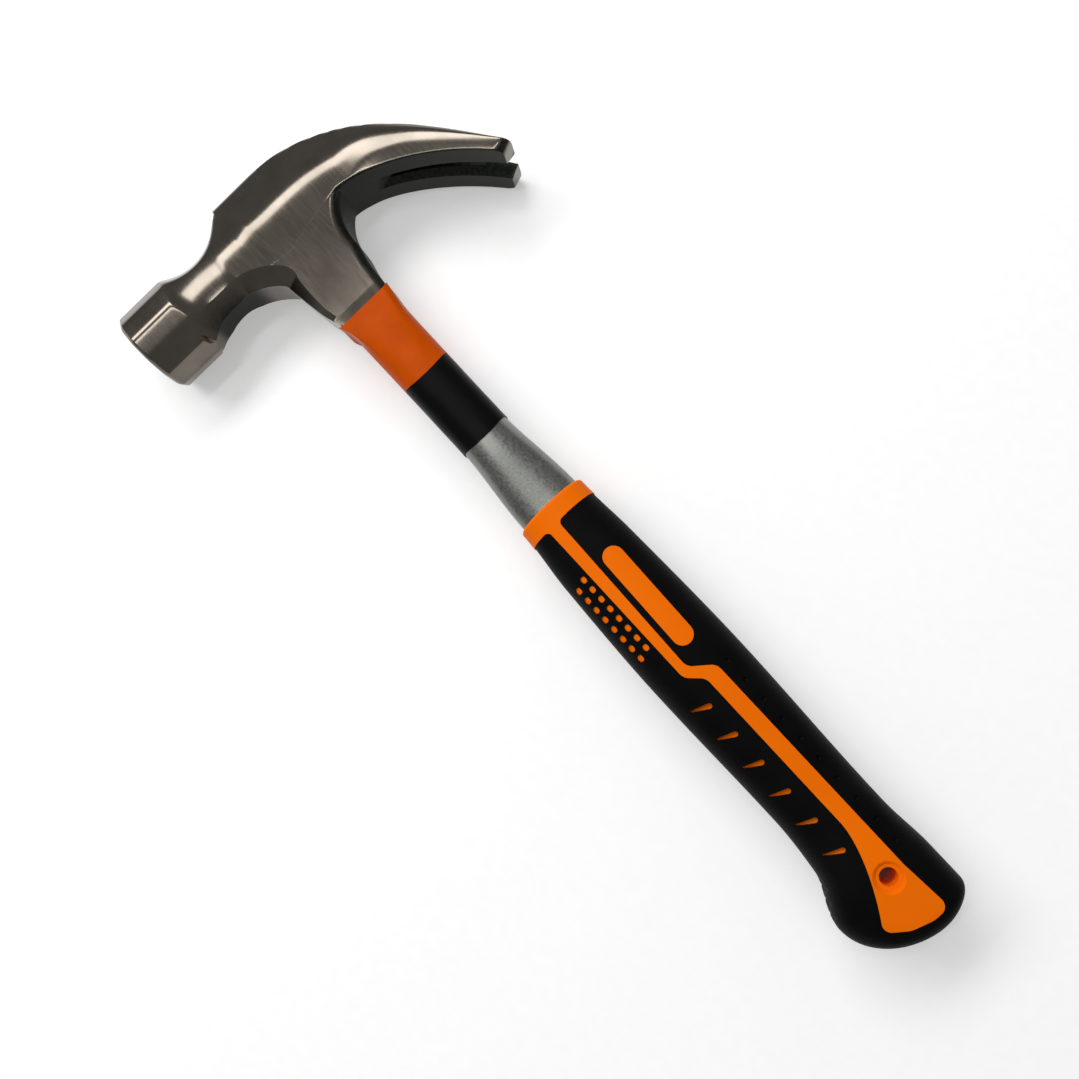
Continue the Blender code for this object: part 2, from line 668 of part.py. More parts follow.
def grown(outline, distance):
    """The same outline moved outwards by an even distance."""
    points = np.array(outline)
    turn = sum(np.cross(points[k - 1], points[k]) for k in range(len(points)))
    ahead = np.roll(points, -1, axis=0) - points
    ahead /= np.linalg.norm(ahead, axis=1)[:, None]
    normal = np.c_[ahead[:, 1], -ahead[:, 0]] * (1 if turn > 0 else -1)
    before = np.roll(normal, 1, axis=0)
    share = 1 + (normal * before).sum(axis=1)
    return points + distance * (normal + before) / share[:, None]


def stripe_and_panel():
    """The stripe from the collar, its dogleg, the band below and the flared butt panel."""
    collar_end = GRIP_AT + COLLAR_LENGTH
    top_face = STRIPE_OFFSET + STRIPE_WIDTH / 2
    top_claw = STRIPE_OFFSET - STRIPE_WIDTH / 2
    low_face = STRIPE_OFFSET_LOW + STRIPE_WIDTH_LOW / 2
    low_claw = STRIPE_OFFSET_LOW - STRIPE_WIDTH_LOW / 2
    band_face = BAND_WIDTH / 2 - BAND_OFFSET
    band_claw = -BAND_WIDTH / 2 - BAND_OFFSET
    turn = CORNER_ROUND
    flare = []
    for share in (0.25, 0.5, 0.75):
        flare.append((blend(share, PANEL_AT, PANEL_CORNER_AT),
                      blend(share ** PANEL_FLARE_POWER, band_face, PANEL_FACE_REACH), 0.0))
    face_side = [
        (collar_end - GAP, top_face + 2 * turn, 0.0), (collar_end + GAP, top_face + 2 * turn, 0.0),
        (collar_end + GAP, top_face, turn), (DOGLEG_AT, low_face, turn),
        (DOGLEG_AT + DOGLEG_LENGTH, band_face, turn), (PANEL_AT, band_face, 0.0),
    ] + flare
    end = [
        (PANEL_CORNER_AT, PANEL_FACE_REACH, turn),
        (PANEL_SLANT_AT, PANEL_SLANT_REACH, turn),
        (PANEL_END_AT, 0.0, turn),
        (PANEL_END_AT, -PANEL_CLAW_REACH, turn),
    ]
    lead = DOGLEG_LEAD
    claw_side = [
        (HANG_HOLE_AT, band_claw, 0.0), (DOGLEG_AT + DOGLEG_LENGTH - lead / 2, band_claw, turn),
        (DOGLEG_AT - lead, low_claw, turn), (collar_end + GAP, top_claw, turn),
        (collar_end + GAP, top_claw - 2 * turn, 0.0), (collar_end - GAP, top_claw - 2 * turn, 0.0),
    ]
    return rounded(face_side + end + claw_side)


def oval_pad():
    half = PAD_WIDTH / 2
    end = PAD_AT + PAD_LENGTH
    radius = half * 0.995
    return rounded([
        (PAD_AT, half - PAD_OFFSET, radius), (end, half - PAD_OFFSET_LOW, radius),
        (end, -half - PAD_OFFSET_LOW, radius), (PAD_AT, -half - PAD_OFFSET, radius),
    ])


def disc(down, across, diameter, sides):
    turns = [2 * math.pi * k / sides for k in range(sides)]
    return [(down + diameter / 2 * math.cos(t), across + diameter / 2 * math.sin(t)) for t in turns]


def dots():
    outlines = []
    for row in range(2):
        for k in range(DOT_COUNT):
            down = DOT_AT + k * DOT_PITCH + row * DOT_STAGGER
            outlines.append(disc(down, DOT_ROW_OFFSET + row * DOT_ROW_GAP, DOT_ACROSS, DOT_SIDES))
    return outlines


def slits():
    """Slots that start round beside the band and narrow to a point, leaning towards the head."""
    outlines = []
    lean = np.array((-math.sin(SLIT_SLANT), math.cos(SLIT_SLANT)))
    side = np.array((math.cos(SLIT_SLANT), math.sin(SLIT_SLANT)))
    radius = SLIT_WIDTH / 2
    for k in range(SLIT_COUNT):
        root = np.array((SLIT_AT + k * SLIT_PITCH, SLIT_OFFSET))
        turns = [math.pi * (1 + j / 4) for j in range(5)]
        round_end = [root + radius * (side * math.cos(t) + lean * math.sin(t)) for t in turns]
        tip = root + lean * (SLIT_LENGTH - radius)
        outlines.append(round_end + [tip + side * radius / 3, tip - side * radius / 3])
    return outlines


def through(name, outlines, grow=0.0):
    """Upright prisms over flat outlines of the handle, running past both faces of the grip."""
    height = HEEL_THICKNESS / 2 + REACH
    prisms = []
    for outline in outlines:
        edge = grown(outline, grow) if grow else outline
        flat = [on_handle(down, across) for down, across in edge]
        prisms.append(prism(name, flat, -height, height))
    return joined(name, prisms)


def upright_cylinder(name, centre, diameter, low, high, sides):
    built = bmesh.new()
    bmesh.ops.create_cone(built, cap_ends=True, segments=sides, radius1=diameter / 2,
                          radius2=diameter / 2, depth=high - low)
    bmesh.ops.translate(built, verts=built.verts, vec=(*centre, (low + high) / 2))
    mesh = bpy.data.meshes.new(name)
    built.to_mesh(mesh)
    built.free()
    return bpy.data.objects.new(name, mesh)


def main():
    clear_scene()
    parts, cutters = new_collection(PARTS), new_collection(CUTTERS)
    datum = bpy.data.objects.new("datum", None)
    datum.location = DATUM
    parts.objects.link(datum)

    steel = new_material("forged_steel", (0.30, 0.29, 0.27), 0.32, 1.0)
    satin = new_material("satin_tube", (0.42, 0.43, 0.41), 0.42, 1.0)
    film = new_material("label_film", (0.60, 0.12, 0.005), 0.35)
    orange = new_material("orange_plastic", (1.0, 0.19, 0.0), 0.45)
    rubber = new_material("black_rubber", (0.02, 0.02, 0.02), 0.7)
    weld = new_material("weld_steel", (0.35, 0.34, 0.33), 0.45, 1.0)
    plastic = new_material("plug_plastic", (0.05, 0.05, 0.05), 0.6)

    def part(obj, material):
        obj.data.materials.append(material)
        return place(obj, parts, datum)

    def cutter(obj):
        obj.hide_render = True
        obj.display_type = "WIRE"
        return place(obj, cutters, datum)

    head = part(head_body(), steel)
    boolean(head, cutter(head_stub()), "UNION")
    boolean(head, cutter(slot_cutter()), "DIFFERENCE")

    weld_end = STUB_LENGTH + WELD_WIDTH
    neck_weld = [shank_ring(STUB_LENGTH + GAP), shank_ring(weld_end)]
    part(shell(loft("neck_weld", neck_weld, capped=False), TUBE_WALL), weld)

    tube = [shank_ring(down) for down in shank_places(weld_end + GAP)]
    part(shell(loft("shank_tube", tube, capped=False), TUBE_WALL), satin)

    wrap = []
    for share in LABEL_RING_SHARES:
        arc = blend(share, LABEL_TOP_ARC, LABEL_LOW_ARC)
        wrap.append(shank_ring(LABEL_AT + share * LABEL_LENGTH, GAP + LABEL_FILM, HANDLE_RING, arc))
    part(shell(loft("label", wrap, capped=False), LABEL_FILM), film)

    inside = -TUBE_WALL - GAP
    flange_at = SHANK_END_AT + GAP
    plug_end = flange_at + PLUG_FLANGE
    plug = [shank_ring(SHANK_END_AT - PLUG_LENGTH, inside), shank_ring(flange_at, inside),
            shank_ring(flange_at), shank_ring(plug_end)]
    part(loft("tube_plug", plug), plastic)

    # Core: collar and buried body in one skin, then the raised areas, the bore and the hang hole
    collar_end = GRIP_AT + COLLAR_LENGTH
    base = [grip_ring(GRIP_AT, COLLAR_LIP - COLLAR_PROUD),
            grip_ring(GRIP_AT + COLLAR_LIP, -COLLAR_PROUD), grip_ring(collar_end, -COLLAR_PROUD)]
    base += [grip_ring(down, sleeve_depth(down)) for down in grip_places(collar_end, SLEEVE_THICKNESS)]
    core = part(loft("grip_core", base), orange)

    windows = {"stripe": [stripe_and_panel()], "pad": [oval_pad()], "dots": dots()}
    skin_places = grip_places(collar_end - GAP, 0.0)
    top_skin = cutter(loft("raised_skin", [grip_ring(d, -ORANGE_PROUD) for d in skin_places]))
    raised = []
    for name, outlines in windows.items():
        raised.append(cutter(through("raised_" + name, outlines)))
        boolean(raised[-1], top_skin, "INTERSECT")
    floors = cutter(through("slit_floors", slits()))
    low_skin = cutter(loft("slit_floor_skin", [grip_ring(d, SLIT_DEPTH) for d in skin_places]))
    boolean(floors, low_skin, "INTERSECT")
    bore = [shank_ring(down, GAP) for down in shank_places(weld_end) + [plug_end + GAP]]
    bore = cutter(loft("tube_bore", bore))
    hole_at = on_handle(HANG_HOLE_AT, HANG_HOLE_OFFSET)
    height = HEEL_THICKNESS / 2 + REACH
    hole = cutter(upright_cylinder("hang_hole", hole_at, HANG_HOLE_ACROSS, -height, height, HOLE_SIDES))
    floor = grip_sizes(HANG_HOLE_AT, HANG_RECESS_DEPTH)[2]
    recesses = cutter(joined("hang_recesses", [
        upright_cylinder("upper_recess", hole_at, HANG_RECESS_ACROSS, floor, height, HOLE_SIDES),
        upright_cylinder("lower_recess", hole_at, HANG_RECESS_ACROSS, -height, -floor, HOLE_SIDES)]))
    for area in raised + [floors]:
        boolean(core, area, "UNION")
    boolean(core, bore, "DIFFERENCE")
    boolean(core, hole, "DIFFERENCE")
    boolean(core, recesses, "DIFFERENCE")

    # Sleeve: the grip's skin with the buried body and the raised areas taken out of it
    skin = [grip_ring(down) for down in grip_places(collar_end + GAP, 0.0)]
    sleeve = part(loft("grip_sleeve", skin), rubber)
    cavity = [grip_ring(down, sleeve_depth(down) - GAP)
              for down in grip_places(collar_end - REACH, SLEEVE_THICKNESS - GAP)]
    cavity = cutter(loft("sleeve_cavity", cavity))
    boolean(sleeve, cavity, "DIFFERENCE")
    for name, outlines in {**windows, "slits": slits()}.items():
        boolean(sleeve, cutter(through(name + "_window", outlines, GAP)), "DIFFERENCE")

    for obj in parts.objects:
        if obj.type == "MESH":
            soften(obj)


main()
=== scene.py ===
"""Looks of a claw hammer: polished forged head, satin tube, two-colour wrap and two-shot grip.

Laid out as an add-on and run as a script. The frame's solids give the place of every piece, and
the fine surfaces are worked out here. Lengths are metres. Shapes are drawn about the datum, where
the poll's axis crosses the handle, and everything on the handle is placed by its distance down
from there and its offset from the handle's centre line.
"""

import math

import bpy
import numpy as np
from bpy.props import FloatProperty, FloatVectorProperty, IntProperty, PointerProperty
from mathutils import Matrix, Vector


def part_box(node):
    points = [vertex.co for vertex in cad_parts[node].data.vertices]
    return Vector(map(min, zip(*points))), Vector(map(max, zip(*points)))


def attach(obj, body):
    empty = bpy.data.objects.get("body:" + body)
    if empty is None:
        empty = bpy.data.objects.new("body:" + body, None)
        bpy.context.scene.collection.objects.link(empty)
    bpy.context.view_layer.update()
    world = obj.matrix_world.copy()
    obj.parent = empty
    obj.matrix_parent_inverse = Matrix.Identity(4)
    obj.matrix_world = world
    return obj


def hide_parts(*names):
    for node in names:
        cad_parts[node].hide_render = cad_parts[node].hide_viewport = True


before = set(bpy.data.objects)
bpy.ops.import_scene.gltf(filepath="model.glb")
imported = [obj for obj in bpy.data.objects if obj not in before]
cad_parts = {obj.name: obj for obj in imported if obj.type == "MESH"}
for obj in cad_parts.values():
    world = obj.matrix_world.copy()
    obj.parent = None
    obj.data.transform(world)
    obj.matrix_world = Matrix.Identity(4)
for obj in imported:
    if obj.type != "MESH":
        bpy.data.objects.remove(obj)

bl_info = {
    "name": "Claw hammer looks",
    "version": (1, 0, 0),
    "blender": (4, 5, 0),
    "location": "View3D > Sidebar > Hammer",
    "description": "Builds the fine surfaces, finishes, lights and camera of a claw hammer",
    "category": "Object",
}

# Poll and neck
FACE_REACH = 0.0682
POLL_LENGTH = 0.0188
POLL_ACROSS_FLATS = 0.0317
POLL_SIDES = 12
POLL_SET_BACK = 0.0006
FACE_CROWN = 0.0003
FACE_INNER_SHARE = 0.02
RIM_POWER = 1.4
NECK_ACROSS = 0.0230
NECK_WAIST_AT = 0.034
NECK_FLARE_RADIUS = 0.0240
NECK_FLARE_LIMIT = 0.99
NECK_BLEND_ABOVE = 0.0008
NECK_BLEND_LENGTH = 0.010
NECK_TOP_RADIUS = 0.030
NECK_TOP_OFFSET = 0.0013

# The neck's slanted side runs through two points, across and up, in shares of its half width
NECK_CREASE = (0.6, 0.957)
NECK_CORNER = (1.0, 0.414)

# Cheeks and crown
CHEEK_THICKNESS = 0.0266
CHEEK_SLOPE = math.radians(5.3)
CROWN_HEIGHT = 0.0200
CROWN_TOP_AT = -0.001
CROWN_CORNER_AT = 0.0166
CROWN_CORNER_HEIGHT = 0.0199
CROWN_STRIP = 0.0120
CROWN_BEVEL_DEPTH = 0.0182
NECK_TO_CHEEK = 0.0003

# Share of the way to the tips where the cheeks' slope has run out, and how far their low edge has
# come from the neck to the claws' root where the cheeks start and where they end
CHEEK_SLOPE_SHARE = 0.6
CHEEK_TUCK_SHARE = 0.3
CHEEK_END_SHARE = 0.4

# Slanted edge from the poll along the neck, round the corner and down the stub: how wide and how
# steep it is at its start, at the neck's waist, at the corner, past it and at its end
EDGE_WIDTHS = (0.0063, 0.0046, 0.0060, 0.0044, 0.0020)
EDGE_SLOPES = (1.36, 1.36, 0.72, 0.90, 1.0)

# Where that edge starts on the neck's arc, the length in which it narrows past the corner, where it
# ends, the corner's fillet, and how far its cutters reach outside and past the crease
EDGE_ABOVE_WAIST = math.radians(36)
EDGE_EASE = 0.004
EDGE_END_AT = 0.0435
EDGE_FILLET = 0.003
EDGE_OUTSIDE = 0.0012
EDGE_BEYOND = 0.0025

# Claws
CLAW_REACH = 0.0744
CLAW_DROP = 0.0631
CLAW_TOP_ANGLE = math.radians(34)
CLAW_CROWN_SWEEP = 0.0405
CLAW_TOP_SWEEP = 0.0227
CLAW_ROOT_DEPTH = 0.0309
CLAW_ROOT_AT = 0.0206
CLAW_UNDER_ANGLE = math.radians(36)
CLAW_ROOT_SWEEP = 0.014
CLAW_UNDER_SWEEP = 0.023
CLAW_TIP_THICKNESS = 0.0050
CLAW_TIP_CUT = math.radians(68.8)
CLAW_TIP_ROUND = 0.0032
CLAW_WIDTH = 0.0318
CLAW_SIDE_FLAT = 0.0048

# Shares of the way to the tips, and how much of the crown's bevel is left there
CLAW_BEVELS = ((0, 1), (0.2, 0.86), (0.45, 0.44), (0.7, 0.20), (1, 0.06))

# How far the claws' sides lean towards the hollow. The shares say where on the way to the tips the
# hollow starts and the lean is full, how far its crease then lies from the hollow in half depths,
# and how much of the low chamfer it takes away
CLAW_SIDE_SLANT = math.radians(11)
CLAW_ROOT_SHARE = 0.22
CLAW_SLANT_SHARE = 0.50
CLAW_CREASE_SHARE = 0.8
CLAW_CHAMFER_LOSS = 0.9

# Nail slot
SLOT_LENGTH = 0.049
SLOT_TOP_LENGTH = 0.037
SLOT_ROOT_WIDTH = 0.0036
SLOT_MOUTH_WIDTH = 0.0084
SLOT_UNDER_BEVEL = 0.0020
SLOT_BEVEL_DEPTH = 0.0042
SLOT_ROUND_SHARE = 0.04
SLOT_ROUND_START = 0.12

# Stub of the head
STUB_LENGTH = 0.050
STUB_TAPER_AT = 0.016
STUB_SHOULDER = 0.0152
STUB_SHOULDER_LOW = 0.0130
STUB_SHOULDER_END = 0.0370
STUB_FACE_END = 0.0490
STUB_CLAW_SIDE = 0.0132
STUB_CLAW_LOW = 0.0114
STUB_CLAW_END = 0.0580
STUB_CLAW_FILLET = 0.020
STUB_CLAW_FILLET_END = 0.027
STUB_LABEL_FACE = 0.0112
STUB_LABEL_CLAW = 0.0108
STUB_CLAW_CHAMFER = 0.0022
STUB_ROUNDING = 0.022
STUB_SUNK = 0.00025
STUB_UNDER_CHEEK = 0.00001
STUB_BURIED = 0.0063
WELD_WIDTH = 0.0024
SPIGOT_LENGTH = 0.018

# Shank tube
SHANK_TOP_WIDTH = 0.0195
SHANK_TOP_THICKNESS = 0.0180
SHANK_WAIST_AT = 0.105
SHANK_WAIST_WIDTH = 0.0190
SHANK_COLLAR_WIDTH = 0.0240
SHANK_COLLAR_THICKNESS = 0.0148
SHANK_BURIED_AT = 0.157
SHANK_BURIED_WIDTH = 0.0206
SHANK_END_AT = 0.284
TUBE_WALL = 0.0020
HANDLE_LEAN = math.radians(0.72)
LEAN_FROM = 0.028

# Label
LABEL_LAP = 0.0061
LABEL_AT = STUB_LENGTH - LABEL_LAP
LABEL_LENGTH = 0.0643
LABEL_CLEARANCE = 0.00012
LABEL_TOP_ARC = 0.0032
LABEL_LOW_ARC = 0.0019

# Grip
GRIP_AT = 0.1417
GRIP_END_AT = 0.3217
COLLAR_LENGTH = 0.0068
COLLAR_END_AT = GRIP_AT + COLLAR_LENGTH
COLLAR_WALL = 0.0010
COLLAR_COVER = 0.0041
COLLAR_LIP = 0.0010
COLLAR_PROUD = 0.0003
SHOULDER_AT = 0.166
SHOULDER_FACE_COVER = 0.0050
SHOULDER_CLAW_COVER = 0.0042
SWELL_AT = 0.212
SWELL_FACE_COVER = 0.0065
SWELL_CLAW_COVER = 0.0051
SWELL_TOP_COVER = 0.0057
WAIST_AT = 0.266
WAIST_FACE_COVER = 0.0058
WAIST_CLAW_AT = 0.284
WAIST_CLAW_COVER = 0.0035
WAIST_TOP_COVER = 0.0051
HEEL_BEND_AT = 0.286
HEEL_BEND_REACH = 0.0177
HEEL_AT = 0.303
HEEL_FACE_REACH = 0.0242
HEEL_CLAW_REACH = 0.0150
HEEL_THICKNESS = 0.0290
BUTT_ROUND_CLAW = 0.0060
BUTT_EDGE_ROUND = 0.0070
BUTT_APEX_OFFSET = 0.0015
BUTT_LIMIT = 0.9995
SLEEVE_THICKNESS = 0.0026
SLEEVE_COLLAR_THICKNESS = 0.0011
SLEEVE_FULL_AT = 0.168
ORANGE_PROUD = 0.00015

# Orange areas
STRIPE_WIDTH = 0.0046
STRIPE_WIDTH_LOW = 0.0032
STRIPE_OFFSET = 0.0039
STRIPE_OFFSET_LOW = 0.0047
DOGLEG_AT = 0.2130
DOGLEG_LENGTH = 0.0050
DOGLEG_LEAD = 0.0019
DOGLEG_ROUND = 0.0042
BAND_WIDTH = 0.0055
BAND_OFFSET = 0.0017
PANEL_AT = 0.278
PANEL_CORNER_AT = 0.3092
PANEL_SLANT_AT = 0.3139
PANEL_END_AT = 0.3162
PANEL_FACE_REACH = 0.0144
PANEL_SLANT_REACH = 0.0076
PANEL_CLAW_REACH = 0.0058
PANEL_FLARE_POWER = 1.6
CORNER_ROUND = 0.0020
PANEL_ROUND = 0.0028
PANEL_END_ROUND = 0.0075
PAD_AT = 0.166
PAD_LENGTH = 0.0404
PAD_WIDTH = 0.0073
PAD_OFFSET = 0.0039
PAD_OFFSET_LOW = 0.0029
PAD_ROUND_SHARE = 0.995
DOT_ACROSS = 0.0018
DOT_ALONG = 0.0023
DOT_POWER = 2.8
DOT_DEPTH = 0.0004
DOT_AT = 0.1683
DOT_PITCH = 0.00423
DOT_ROW_OFFSET = 0.0085
DOT_ROW_GAP = 0.0037
DOT_STAGGER = 0.0014
SLIT_AT = 0.2249
SLIT_PITCH = 0.0118
SLIT_LENGTH = 0.0074
SLIT_WIDTH = 0.0019
SLIT_OFFSET = 0.0063
SLIT_SLANT = math.radians(24)
SLIT_DEPTH = 0.0012

# Dimples along the claw side of the rubber, and notches in its edge at the heel
DIMPLE_AT = 0.2185
DIMPLE_PITCH = 0.0082
DIMPLE_OFFSET = -0.0080
DIMPLE_ACROSS = 0.0022
DIMPLE_START = 0.1
NOTCH_AT = 0.2905
NOTCH_PITCH = 0.0040
NOTCH_ACROSS = 0.0022
NOTCH_OUT = 0.0002
NOTCH_SAMPLE = 0.0005

# Hang hole
HANG_HOLE_AT = 0.2985
HANG_HOLE_OFFSET = 0.0015
HANG_HOLE_ACROSS = 0.0058
HANG_RECESS_ACROSS = 0.0093
HANG_RECESS_DEPTH = 0.0009
HANG_RECESS_LIP = 0.0005

# Clearances, and how far cutters reach past what they cut
SEAM = 0.00008
FIT_GAP = 0.0003
REACH = 0.005
SHORT_REACH = REACH / 10
PAST_GRIP = HEEL_THICKNESS / 2 + REACH
BORE_BEYOND = 0.0022

# Where bare forging shows on the head. Its dark colour is also painted shade on the faces turned towards
# the handle. A pair is where a change starts and how wide it is, for how upright a surface stands, how
# far it faces the handle and how far it lies short of the tips. In the slot it shows on what lies near
# the middle, past a place and faces across
HOLLOW_UPRIGHT = (0.24, 0.12)
HOLLOW_FACING = (0.0, 0.25)
HOLLOW_TILT = 0.1
HOLLOW_END_AT = 0.012
HOLLOW_FADE = 0.010
TIP_FACE = (0.0001, 0.0004)
SLOT_HALF = 0.0052
SLOT_PAST = -0.02
SLOT_UPRIGHT = 0.6
WALL_FACING = (0.80, 0.15)
WALL_AT = 0.014
WALL_END_AT = 0.047
WALL_FADE = 0.004

# How soon the brushing comes in past the cheeks and goes out before the poll
BRUSH_IN = 0.006
BRUSH_OUT = 0.003

# Floor, lamps and camera. A lamp has its place, what it is turned to, and its size along Y and
# square to that, and the camera its place, the way it looks and the way that is up
FLOOR_REACH = 6.0
STRIP_LAMP = ((0.89, 0.0, 0.98), (0.15, 0.0, 0.03), (1.4, 0.42))
TOP_LAMP = ((0.29, 0.1, 1.2), (0.29, 0.1, 0.0), (0.7, 0.11))
CAMERA_AT = (-0.05105, 0.00685, 0.37141)
CAMERA_AHEAD = (0.15296, 0.02505, -0.98792)
CAMERA_UP = (0.71795, -0.68977, 0.09367)

# How square the ovals are
OVAL_POWER = 2.3
HEEL_POWER = 2.8

# How rounded the edges between facets are: a higher power is a crisper edge
POLL_CRISP = 60
NECK_CRISP = 70
CHEEK_CRISP = 15
CLAW_CRISP = 110
STUB_CRISP = 60

# How finely surfaces are stepped, and where on a ring of the head its points lie closer
HEAD_RING = 176
STUB_RING = 128
HANDLE_RING = 96
LABEL_RING = 160
SKIN_RING = 720
HOLE_RING = 64
DOT_RING = 28
NOTCH_RING = 24
DIMPLE_RING = 16
ROUND_STEPS = 10
EDGE_CLUSTER = 5.0
EDGE_CLUSTER_WIDTH = math.radians(5)
EDGE_TURNS = (math.radians(135), math.radians(225))

# Corners opener than this stay as they are, and edges flatter than this are shaded smooth
STRAIGHT_FROM = math.radians(176)
SMOOTH_BELOW = math.radians(32)

HEAD_LOW, HEAD_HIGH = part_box("head")
DATUM = Vector((HEAD_HIGH.x - CROWN_HEIGHT, HEAD_HIGH.y - FACE_REACH, (HEAD_LOW.z + HEAD_HIGH.z) / 2))


def blend(share, first, last):
    """Straight mix: the first value at share 0, the last at share 1."""
    return first + (last - first) * share


def smooth_step(values, start, length):
    """Rises from 0 to 1 in a length past the start, with level ends: 3 t squared less 2 t cubed."""
    t = np.clip((values - start) / length, 0, 1)
    return t * t * (3 - 2 * t)


def eased(at, knots):
    """Values on a smooth curve through (place, value) knots: cubic Hermite pieces whose slope at
    a knot is the harmonic mean of the slopes beside it, or level where they change sign."""
    places, values = np.array(knots, float).T
    at = np.clip(at, places[0], places[-1])
    slopes = np.diff(values) / np.diff(places)
    product = slopes[:-1] * slopes[1:]
    tangents = np.zeros(len(values))
    rising = product > 0
    tangents[1:-1][rising] = (2 * product / np.where(rising, slopes[:-1] + slopes[1:], 1))[rising]
    i = np.clip(np.searchsorted(places, at, side="right") - 1, 0, len(slopes) - 1)
    span = places[i + 1] - places[i]
    t = (at - places[i]) / span
    return ((1 + 2 * t) * (1 - t) ** 2 * values[i] + t * (1 - t) ** 2 * span * tangents[i]
            + t * t * (3 - 2 * t) * values[i + 1] + t * t * (t - 1) * span * tangents[i + 1])


def bezier(t, points):
    """Points of a cubic curve with four control points, at shares t of the way."""
    a, b, c, d = (np.array(p, float) for p in points)
    t = np.asarray(t, float)[..., None]
    return (1 - t) ** 3 * a + 3 * (1 - t) ** 2 * t * b + 3 * (1 - t) * t * t * c + t ** 3 * d


def unit(rows):
    """Each row divided by its length."""
    return rows / np.linalg.norm(rows, axis=1)[:, None]


def running_sum(steps):
    """Sum of all steps so far, from zero."""
    return np.concatenate(([0], np.cumsum(steps)))


def lengths_passed(points):
    """Length along a path at each of its points."""
    return running_sum(np.linalg.norm(np.diff(points, axis=0), axis=1))


def even_turns(count):
    """Angles at equal steps round a circle."""
    return np.arange(count) * 2 * math.pi / count


def clustered_turns(count, cluster):
    """Angles round a section that lie closer at its two edges on the handle's side: equal steps of
    the running sum of a density with two bumps."""
    fine = np.linspace(0, 2 * math.pi, 3601)
    density = np.ones_like(fine)
    for edge in EDGE_TURNS:
        density += cluster * np.exp(-((fine - edge) / EDGE_CLUSTER_WIDTH) ** 2)
    passed = running_sum((density[1:] + density[:-1]) / 2)
    return np.interp(np.arange(count) / count * passed[-1], passed, fine)


def turning(outline):
    """Twice the area inside a flat outline, above zero where it turns to the left."""
    following = np.roll(outline, -1, axis=0)
    return (outline[:, 0] * following[:, 1] - outline[:, 1] * following[:, 0]).sum()


def mesh_object(name, points, faces):
    """Object in the scene whose mesh has these points and faces."""
    mesh = bpy.data.meshes.new(name)
    mesh.from_pydata(points, [], faces)
    mesh.update()
    obj = bpy.data.objects.new(name, mesh)
    bpy.context.scene.collection.objects.link(obj)
    return obj


def grid_object(name, rings, closed="caps"):
    """Skin over rings of equally many points: closed by an end face on each side, or joined from
    the last ring to the first. It is turned so that its volume is positive."""
    rings = np.asarray(rings, float)
    rows, count = rings.shape[:2]
    row_steps = rows if closed == "loop" else rows - 1
    row, k = np.meshgrid(np.arange(row_steps), np.arange(count), indexing="ij")
    after_row, after_k = (row + 1) % rows, (k + 1) % count
    quads = np.stack([row * count + k, row * count + after_k,
                      after_row * count + after_k, after_row * count + k], axis=-1).reshape(-1, 4)
    points = rings.reshape(-1, 3)
    a, b, c, d = (points[quads[:, j]] for j in range(4))
    volume = (np.cross(b - a, c - a) * a).sum() + (np.cross(c - a, d - a) * a).sum()
    faces = quads.tolist()
    if closed == "caps":
        faces += [list(range(count))[::-1], list(range(len(points) - count, len(points)))]
    if volume < 0:
        faces = [face[::-1] for face in faces]
    return mesh_object(name, points, faces)


def prism(name, outlines, low, high):
    """Upright solids over flat outlines, from height low to height high, in one object."""
    points, faces, start = [], [], 0
    for outline in outlines:
        flat = np.asarray(outline, float)
        flat = flat if turning(flat) > 0 else flat[::-1]
        count = len(flat)
        points += [np.c_[flat, np.full(count, z)] for z in (low, high)]
        k = np.arange(count)
        after = (k + 1) % count
        sides = np.c_[k, after, count + after, count + k] + start
        faces += sides.tolist()
        faces += [(k[::-1] + start).tolist(), (k + count + start).tolist()]
        start += 2 * count
    return mesh_object(name, np.concatenate(points), faces)


def turned(name, centre, profile, sides):
    """Upright turned solid: a profile of (radius, height) pairs carried round a centre."""
    profile = np.array(profile, float)
    turns = even_turns(sides)
    radius, height = profile[:, :1], profile[:, 1:]
    x, y = centre[0] + radius * np.cos(turns), centre[1] + radius * np.sin(turns)
    return grid_object(name, np.stack(np.broadcast_arrays(x, y, height), axis=-1))


def per_point(mesh, key):
    """The places ("co") or normals ("normal") of a mesh's points, one row each."""
    flat = np.empty(3 * len(mesh.vertices))
    mesh.vertices.foreach_get(key, flat)
    return flat.reshape(-1, 3)


def merged(name, objects):
    """One object that holds the separate bodies of several."""
    points, faces, start = [], [], 0
    for obj in objects:
        points.append(per_point(obj.data, "co"))
        faces += [[start + v for v in face.vertices] for face in obj.data.polygons]
        start += len(obj.data.vertices)
        bpy.data.objects.remove(obj, do_unlink=True)
    return mesh_object(name, np.concatenate(points), faces)


def carved(target, steps):
    """Target after exact Booleans with (operation, tool) steps. The tools are removed."""
    for operation, tool in steps:
        cut = target.modifiers.new(operation.lower(), "BOOLEAN")
        cut.operation = operation
        cut.solver = "EXACT"
        cut.object = tool
    result = bpy.data.meshes.new_from_object(target.evaluated_get(bpy.context.evaluated_depsgraph_get()))
    target.modifiers.clear()
    target.data = result
    for _, tool in steps:
        bpy.data.objects.remove(tool, do_unlink=True)
    return target


def finish_piece(obj, name, material, nodes):
    """Puts a piece in its place, shades it, and says what it rides on, replaces and is made of."""
    obj.data.transform(Matrix.Translation(DATUM))
    obj.name = obj.data.name = name
    obj.data.materials.clear()
    obj.data.materials.append(material)
    obj.data.shade_smooth()
    obj.data.set_sharp_from_angle(angle=SMOOTH_BELOW)
    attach(obj, "root")
    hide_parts(*nodes)


# Head

